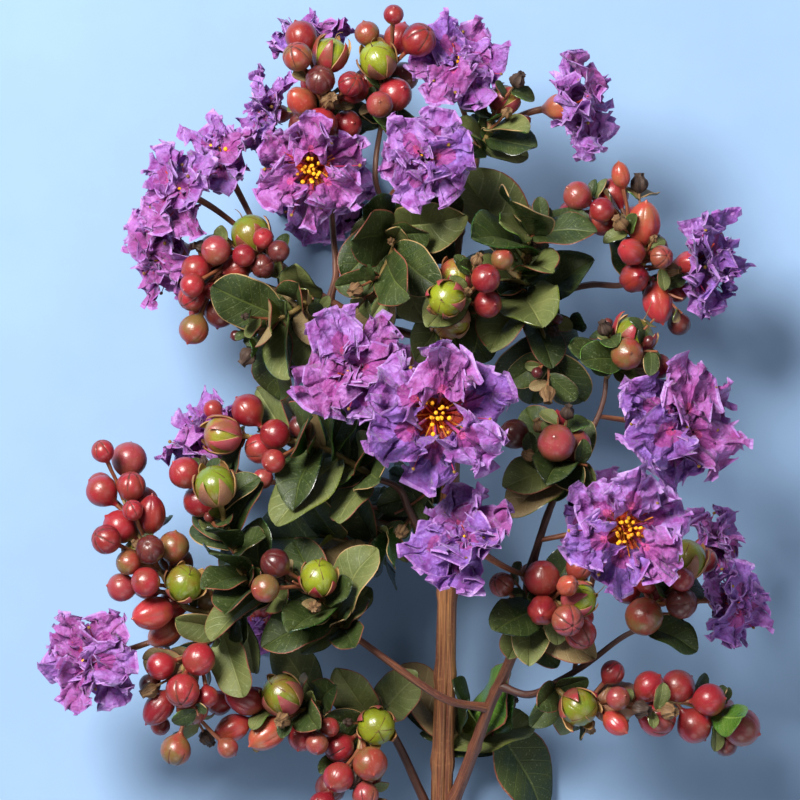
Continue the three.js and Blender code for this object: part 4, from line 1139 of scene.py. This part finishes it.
def grow_calyx(bloom, dice):
    """The cup under the petals, with its six pointed lobes turned out between their claws, and the stalk."""
    wide, face = bloom["wide"], bloom["face"]
    skin = dice.choice(("calyx_red", "calyx_orange"), p=(0.7, 0.3))

    def reach(ring, height, angles):
        return wide * ring * (1 + 0.05 * np.cos(6 * angles) * eased(height / wide * 9))

    turned(blossom, bloom["base"], face, 0, CALYX_RADII, CALYX_HEIGHTS * wide, circle(30), reach,
           lambda i, j: skin if i < 7 else "calyx_inside", dice.integers(9))
    s, w = np.meshgrid(np.linspace(0, 1, 7), np.linspace(-1, 1, 5), indexing="ij")
    half = 0.055 * (1 - s) ** 0.8 + 0.004
    far = 0.1 + 0.085 * np.sin(s * 1.3) - 0.012 * w**2
    high = 0.165 + 0.05 * s - 0.035 * s**2
    for k in range(PETALS):
        out = around(bloom["u"], bloom["v"], (k + 0.5) / PETALS * FULL)
        lobe = spread(out, far) + spread(np.cross(out, face), half * w) + spread(face, high)
        sheet(blossom, bloom["base"] + wide * lobe, 0.3, s, w, k, "calyx_inside", skin)
    twig(bloom["stalk"].points(np.linspace(0, 1, 14)), (0.62, 0.95), 10, "twig_red", dice)


def thread(start, heading, out, long, bend, finish, thick=(0.24, 0.14)):
    """A thread from its start, bent outwards; its end."""
    t = np.linspace(0, 1, 5)[:, None]
    points = start + heading * long * t + out * bend * long * t**2
    pipe(blossom, points, thick, 4, finish)
    return points[-1]


def stamen(start, heading, out, long, bend, dice, finish, anther, r):
    end = thread(start, heading, out, long, bend, finish, (0.2, 0.11))
    axis = unit(dice.normal(size=3) * 0.8 + np.cross(heading, out))
    turned(blossom, end + heading * r * 0.5, axis, 0, [0.35, 0.85, 1.0, 0.85, 0.35],
           np.array([-1.15, -0.7, 0, 0.7, 1.15]) * r, circle(7),
           lambda ring, height, a: r * ring * (1 - 0.2 * np.cos(2 * a)), anther, dice.integers(9))


def grow_tuft(bloom, dice):
    """Red threads that fill the throat, a tight tuft with yellow anthers, six long stamens and the style."""
    wide, face, u, v = (bloom[key] for key in ("wide", "face", "u", "v"))
    heart = bloom["base"] + face * 0.11 * wide

    def scattered(count):
        """Shares of the tuft's width and directions out, evenly over a disc."""
        for i in range(count):
            yield math.sqrt((i + 0.5) / count), around(u, v, i * GOLDEN + dice.uniform(-0.3, 0.3))

    for share, out in scattered(THREADS):
        heading = unit(face + out * share * dice.uniform(0.5, 1.3))
        thread(heart + out * share * 0.06 * wide, heading, out, wide * dice.uniform(0.12, 0.2),
               dice.uniform(-0.1, 0.4), dice.choice(("thread_amber", "thread_red"), p=(0.35, 0.65)))
    for share, out in scattered(FRESH.get(bloom["key"], FEW)):
        heading = unit(face + out * share * dice.uniform(0.0, 0.28))
        stamen(heart + out * share * 0.045 * wide, heading, out, wide * dice.uniform(0.2, 0.27),
               dice.uniform(-0.1, 0.2), dice, dice.choice(("thread_amber", "thread_red")), "anther",
               dice.uniform(0.36, 0.5))
    for k in range(6):
        out = around(u, v, (k + 0.5) / 6 * FULL + dice.uniform(-0.2, 0.2))
        heading = unit(face + out * dice.uniform(0.5, 0.9))
        stamen(heart + out * 0.07 * wide, heading, out, wide * dice.uniform(0.26, 0.34),
               dice.uniform(0.1, 0.5), dice, "thread_magenta", "anther_dusky", 0.4)
    lean = unit(face + u * dice.uniform(-0.5, 0.5) + v * dice.uniform(-0.5, 0.5))
    t = np.linspace(0, 1, 7)[:, None]
    bend = np.cross(lean, u) * 0.12 * wide
    pipe(blossom, heart + lean * 0.34 * wide * t + bend * t**2, (0.24, 0.16), 5, "thread_red")


# ---- limbs: a cylinder cut into rings, its foot inset for bark, wood and pith, laid along the limb ----
COPPER_BOUGHS = ("right_bough", "upper_left_bough", "crown_left_bough", "crown_mid_bough", "cross_bough")


def near_rings(t, marks, spread_by):
    return sum(np.exp(-(((t - mark) / spread_by) ** 2)) for mark in marks)


def select_parts(mesh, kind, wanted):
    """Selects the edges or faces that are wanted."""
    bpy.ops.mesh.select_mode(type=kind)
    shape = bmesh.from_edit_mesh(mesh)
    for part in shape.edges if kind == "EDGE" else shape.faces:
        part.select_set(wanted(part))
    bmesh.update_edit_mesh(mesh)


def is_upright(edge):
    a, b = (vertex.co for vertex in edge.verts)
    return math.hypot(a.x - b.x, a.y - b.y) < 1e-4


def grow_limb(limb, number):
    name, line, (r0, r1) = limb["name"], limb["line"], limb["r"]
    dice = np.random.default_rng(LIMB_SEED + number)
    length, stout = line.length(), name == "main_stem"
    bpy.ops.object.select_all(action="DESELECT")
    bpy.ops.mesh.primitive_cylinder_add(vertices=48 if stout else 28, radius=1, depth=1, end_fill_type="NGON")
    piece = bpy.context.object
    mesh = piece.data
    piece.name = mesh.name = name + "_bark"
    bpy.ops.object.mode_set(mode="EDIT")
    for cuts in (max(4, int(length / 6)), 4):
        select_parts(mesh, "EDGE", is_upright)
        bpy.ops.mesh.subdivide(number_cuts=min(cuts, 99))
    select_parts(mesh, "FACE", lambda face: face.normal.z < -0.9)
    for thick in (0.13, 0.3, 0.35):
        bpy.ops.mesh.inset(thickness=thick)
    bpy.ops.object.mode_set(mode="OBJECT")

    flat = np.empty(len(mesh.vertices) * 3, np.float32)
    mesh.vertices.foreach_get("co", flat)
    x, y, t = flat.reshape(-1, 3).astype(float).T
    t = t + 0.5
    turn = np.arctan2(y, x)
    out_share = np.minimum(np.hypot(x, y), 1)
    at, _, out, side = line.frames(np.clip(t, 0, 1))
    far = t * length
    ribs = 0.045 * np.sin(3 * turn + far * 0.05 + dice.uniform(0, 6)) + 0.03 * np.sin(5 * turn - far * 0.07)
    streaks = 0.016 * np.sin(11 * turn + 1.5 * np.sin(far * 0.21)) * np.sin(far * 0.5 + 3 * turn)
    cleft_at = dice.uniform(-0.3, 0.3) - 1.35 + 0.25 * np.sin(far * 0.06)
    cleft = -(0.16 if stout else 0.08) * np.exp(-(((turn - cleft_at + math.pi) % FULL - math.pi) / 0.16) ** 2)
    joints = np.arange(dice.uniform(6, 12), length - 4, dice.uniform(13, 18))
    swelling = 0.13 * near_rings(far, joints, 1.1) * (1 + 0.5 * np.cos(2 * turn))
    swelling = swelling + 0.05 * near_rings(far, joints + 1.6, 0.4)
    collar = 0.35 * np.exp(-((far / (2.2 * r0 + 0.5)) ** 2)) if limb["parent"] else 0
    round_end = np.sqrt(np.clip(1 - np.clip((t - 0.985) / 0.015, 0, 1) ** 2, 0.02, 1))
    r = mixed(r0, r1, t) * (1 + ribs + streaks + cleft + swelling + collar) * round_end * out_share
    points = at + out * (np.cos(turn) * r)[:, None] - side * (np.sin(turn) * r)[:, None]
    foot = t < 1e-4
    if stout:
        points[foot, 1] = 0
    mesh.vertices.foreach_set("co", placed(points).astype(np.float32).ravel())
    finish = "stem_bark" if stout else "bough_copper" if name in COPPER_BOUGHS else "bough_bark"
    clothe(mesh, (finish, "cut_bark", "cut_wood", "cut_pith"), np.column_stack([
        np.cos(turn) * out_share * r0, np.sin(turn) * out_share * r0, far + 50 * number]))
    for face in mesh.polygons:
        corners = list(face.vertices)
        widest = out_share[corners].max()
        if foot[corners].all():
            face.material_index = 1 if widest > 0.9 else 2 if widest > 0.3 else 3
    finish_piece(piece, "bark", [name], 40)
    mesh.update()


# ---- growing it all ----
BLOOM_GROUPS = dict(
    crown=("crown_front", "crown_middle", "crown_top", "crown_right", "crown_side", "crown_left"),
    upper=("upper_right", "upper_left_low", "upper_left_mid", "upper_left_top"),
    middle=("heart", "right_front", "heart_left", "low_front", "right"),
    outer=("far_left", "left", "low_right", "low_right_back"),
    under=("under_left", "under_heart", "under_crown", "under_right"),
)
FINE_ROOM = 0.15  # room that the finer growth keeps
MORE_LEAVES = 2.0  # tries at a smaller leaf for each leaf of a mass
MORE_BUDS = 1.4  # buds of a mass, smaller ones with them, for each that the rule asks
BUD_REACH = 1.5  # how far past the mass's box the middle of one may lie
FINE_TWIGS = 7  # in a mass
WITHERED, BUDDED = 0.5, 0.15  # shares of them with a withered bloom or a budlet at the end
UPPER_FROM = 105  # the y from which buds are among the upper ones
MASS_SEED, BLOOM_SEED, LIMB_SEED = 300, 500, 700
SMALL_ROWS, SMALL_COLUMNS = LEAF_ROWS[::2], np.array([1, 0.94, 0.45, 0, -0.45, -0.94, -1])

leaf_trays = {
    kind: Tray("leaves_of_" + kind, "foliage", *LEAF_TOPS, *LEAF_UNDERS, "leaf_rim_red", "leaf_rim_tan")
    for kind in ("sprays", "trusses")
}
twigs = Tray("twigs", "bark", "twig_red", "twig_green", "dry", "dry_dark")
bud_trays = {
    kind: Tray("buds_of_" + kind, "foliage", *BUD_SKINS, "bud_crack", "calyx_red", "calyx_orange")
    for kind in ("upper", "lower")
}
pods = Tray("capsules", "foliage", "pod_green", "pod_lime", "pod_blush", "bud_crack", "sepal_rose",
            "sepal_red", "sepal_dun", "sepal_inside", "sepal_margin")
husks = Tray("withered_blooms", "foliage", "dry", "dry_dark")
blossom = Tray("calyxes_and_stamens", "petal", "calyx_red", "calyx_orange", "calyx_inside", "thread_amber",
               "thread_red", "thread_magenta", "anther", "anther_dusky")


def grow_finer(mass, dice):
    """Smaller leaves, and fine twigs with leaflets and budlets, where the mass has room within its reach."""
    low, high = (np.array(corner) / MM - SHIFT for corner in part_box(mass["name"]))

    def take_if_fits(balls, over=1):
        at = balls[0]
        inside = (at > low - over).all() and (at < high + over).all()
        fits = inside and above_ground(balls) and room.is_free(balls, mass["name"], 0.1, FINE_ROOM)
        if fits:
            room.take(balls, mass["name"])
        return fits

    def try_leaf(line, start, end, long, tries):
        for turn in range(tries):
            spec = (1, start, end, long * dice.uniform(0.55, 0.95), 0)
            leaf = born_leaf(line, spec, dice.random(), turn * GOLDEN + dice.uniform(0, 6), dice.random)
            if take_if_fits(leaf_balls(leaf, 0.65)):
                return [leaf]
        return []

    count, start, _, size, reach = mass["spec"].get("buds", (0, 0, 0, 0, 0))
    for _ in range(round(count * MORE_BUDS) - len(mass["buds"])):
        for turn in range(160):
            spec = (1, start * 0.5, 1, size * dice.uniform(0.62, 0.95), reach * dice.uniform(0.7, 1.5))
            bud = born_bud(mass["line"], spec, dice.random(), turn * GOLDEN, dice.random)
            if take_if_fits(bud_balls(bud), BUD_REACH):
                mass["buds"].append(bud)
                break
    count, _, _, long, _ = mass["spec"].get("leaves", (4, 0, 1, 13, 0))
    for i in range(round(count * MORE_LEAVES)):
        size = long * mixed(1.2, 0.75, i / count / MORE_LEAVES)
        mass["leaves"] += try_leaf(mass["line"], 0.02, 1, size, 40)
    mass["fine"] = []
    for _ in range(FINE_TWIGS):
        for turn in range(20):
            t = dice.uniform(0.15, 1)
            spec = (1, t, t, 1.35, dice.uniform(5, 8))
            bud = born_bud(mass["line"], spec, 0, dice.uniform(0, 6), dice.random)
            start, end = bud["base"], bud["middle"]
            knee = mixed(start, end, 0.5) + square_to(bud["along"], dice.normal(size=3)) * 1.2
            line = Bow(start, knee, end)
            if take_if_fits((np.array([end, mixed(start, end, 0.6)]), np.array([bud["r"] + 0.3, 0.4]))):
                small = [leaf for _ in range(2) for leaf in try_leaf(line, 0.3, 0.8, 9, 12)]
                mass["fine"].append((line, bud, small))
                break


for number, mass in enumerate(masses):
    dice = np.random.default_rng(MASS_SEED + number)
    leaves = leaf_trays["sprays" if mass["name"].endswith("spray") else "trusses"]
    buds = bud_trays["upper" if mass["line"].at(0.5)[1] > UPPER_FROM else "lower"]
    grow_finer(mass, dice)
    radii = np.linspace(TWIG["start"], TWIG["end"], 22) * dice.uniform(0.9, 1.15, 22)
    twig(mass["line"].points(np.linspace(0, 1, 22)), radii, 10, "twig_green", dice)
    for pod in mass["ripe"]:
        grow_pod(pod, dice)
    for bud in mass["buds"]:
        grow_bud(bud, dice)
    for leaf in mass["leaves"]:
        grow_leaf(leaf, dice)
    for line, bud, small in mass["fine"]:
        twig(line.points(np.linspace(0, 0.9, 7)), (0.42, 0.28), 7, "twig_red", dice)
        kind = dice.random()
        if kind < WITHERED:
            wither(line.at(0.7), bud["along"], bud["r"] * dice.choice((0.8, 1.2, 1.5)), dice)
        elif kind < WITHERED + BUDDED:
            grow_bud(bud, dice)
        for leaf in small:
            grow_leaf(leaf, dice, SMALL_ROWS, SMALL_COLUMNS)

for group, keys in BLOOM_GROUPS.items():
    petals = Tray("petals_" + group, "petal", *PETAL_SKINS, "petal_rim", "petal_inner", "petal_throat")
    grown = [bloom for bloom in blooms if bloom["key"] in keys]
    for bloom in grown:
        dice = np.random.default_rng(BLOOM_SEED + bloom["number"])
        grow_calyx(bloom, dice)
        grow_tuft(bloom, dice)
        for petal in bloom["petals"]:
            grow_petal(bloom, petal, dice)
    petals.build([bloom["name"] for bloom in grown], 75)

for number, limb in enumerate(limbs.values()):
    grow_limb(limb, number)
blossom.build([bloom["name"] for bloom in blooms])
for tray in (*leaf_trays.values(), *bud_trays.values(), twigs, pods, husks):
    tray.build([mass["name"] for mass in masses])


# ---- floor, light and camera ----
VIEW_MIDDLE = np.array([-10.75, 120.0, 63.0])  # in the drawing
VIEW_WIDE = 200 * MM
LENS, SENSOR = 300.0, 36.0

bpy.ops.mesh.primitive_circle_add(vertices=96, radius=3.0, fill_type="NGON", location=(0, 0, -0.0002))
floor = bpy.context.object
floor.name = "floor"
bpy.ops.object.transform_apply(location=True)
tree = new_finish("floor", Roughness=0.8)
clouds = use(tree, "mottle", Scale=40, Low=0.3, High=0.7)["Mask"]
fill(tree, Base_Color=blend_of(tree, clouds, "86a4c8", "82a0c5"))
floor.data.materials.append(FINISHES["floor"])


def area_light(name, at, size, power, colour=(1, 1, 1), aim=(0, 0, 0.05)):
    light = bpy.data.lights.new(name, "AREA")
    light.shape, light.size, light.energy, light.color = "DISK", size, power, colour
    lamp = bpy.data.objects.new(name, light)
    bpy.context.scene.collection.objects.link(lamp)
    lamp.location = at
    lamp.rotation_euler = (Vector(aim) - Vector(at)).to_track_quat("-Z", "Y").to_euler()


area_light("key", (-0.47, 0.52, 0.96), 0.5, 30.5, (1.0, 0.97, 0.92))
area_light("fill", (0.7, -0.4, 0.7), 0.9, 2.3, (0.96, 0.98, 1.0))
area_light("front", (0.0, -0.9, 0.45), 0.6, 1.6)

world = bpy.data.worlds.new("studio")
bpy.context.scene.world = world
world.use_nodes = True
world.node_tree.nodes["Background"].inputs["Color"].default_value = (0.9, 0.94, 1.0, 1)
world.node_tree.nodes["Background"].inputs["Strength"].default_value = 0.17

lens = bpy.data.cameras.new("camera")
lens.lens, lens.sensor_width = LENS, SENSOR
lens.clip_start, lens.clip_end = 0.05, 50
camera = bpy.data.objects.new("camera", lens)
bpy.context.scene.collection.objects.link(camera)
camera.location = (VIEW_MIDDLE + SHIFT) * MM + np.array([0, 0, VIEW_WIDE * LENS / SENSOR])
bpy.context.scene.camera = camera
bpy.context.scene.view_settings.view_transform = "Standard"

bpy.context.view_layer.update()
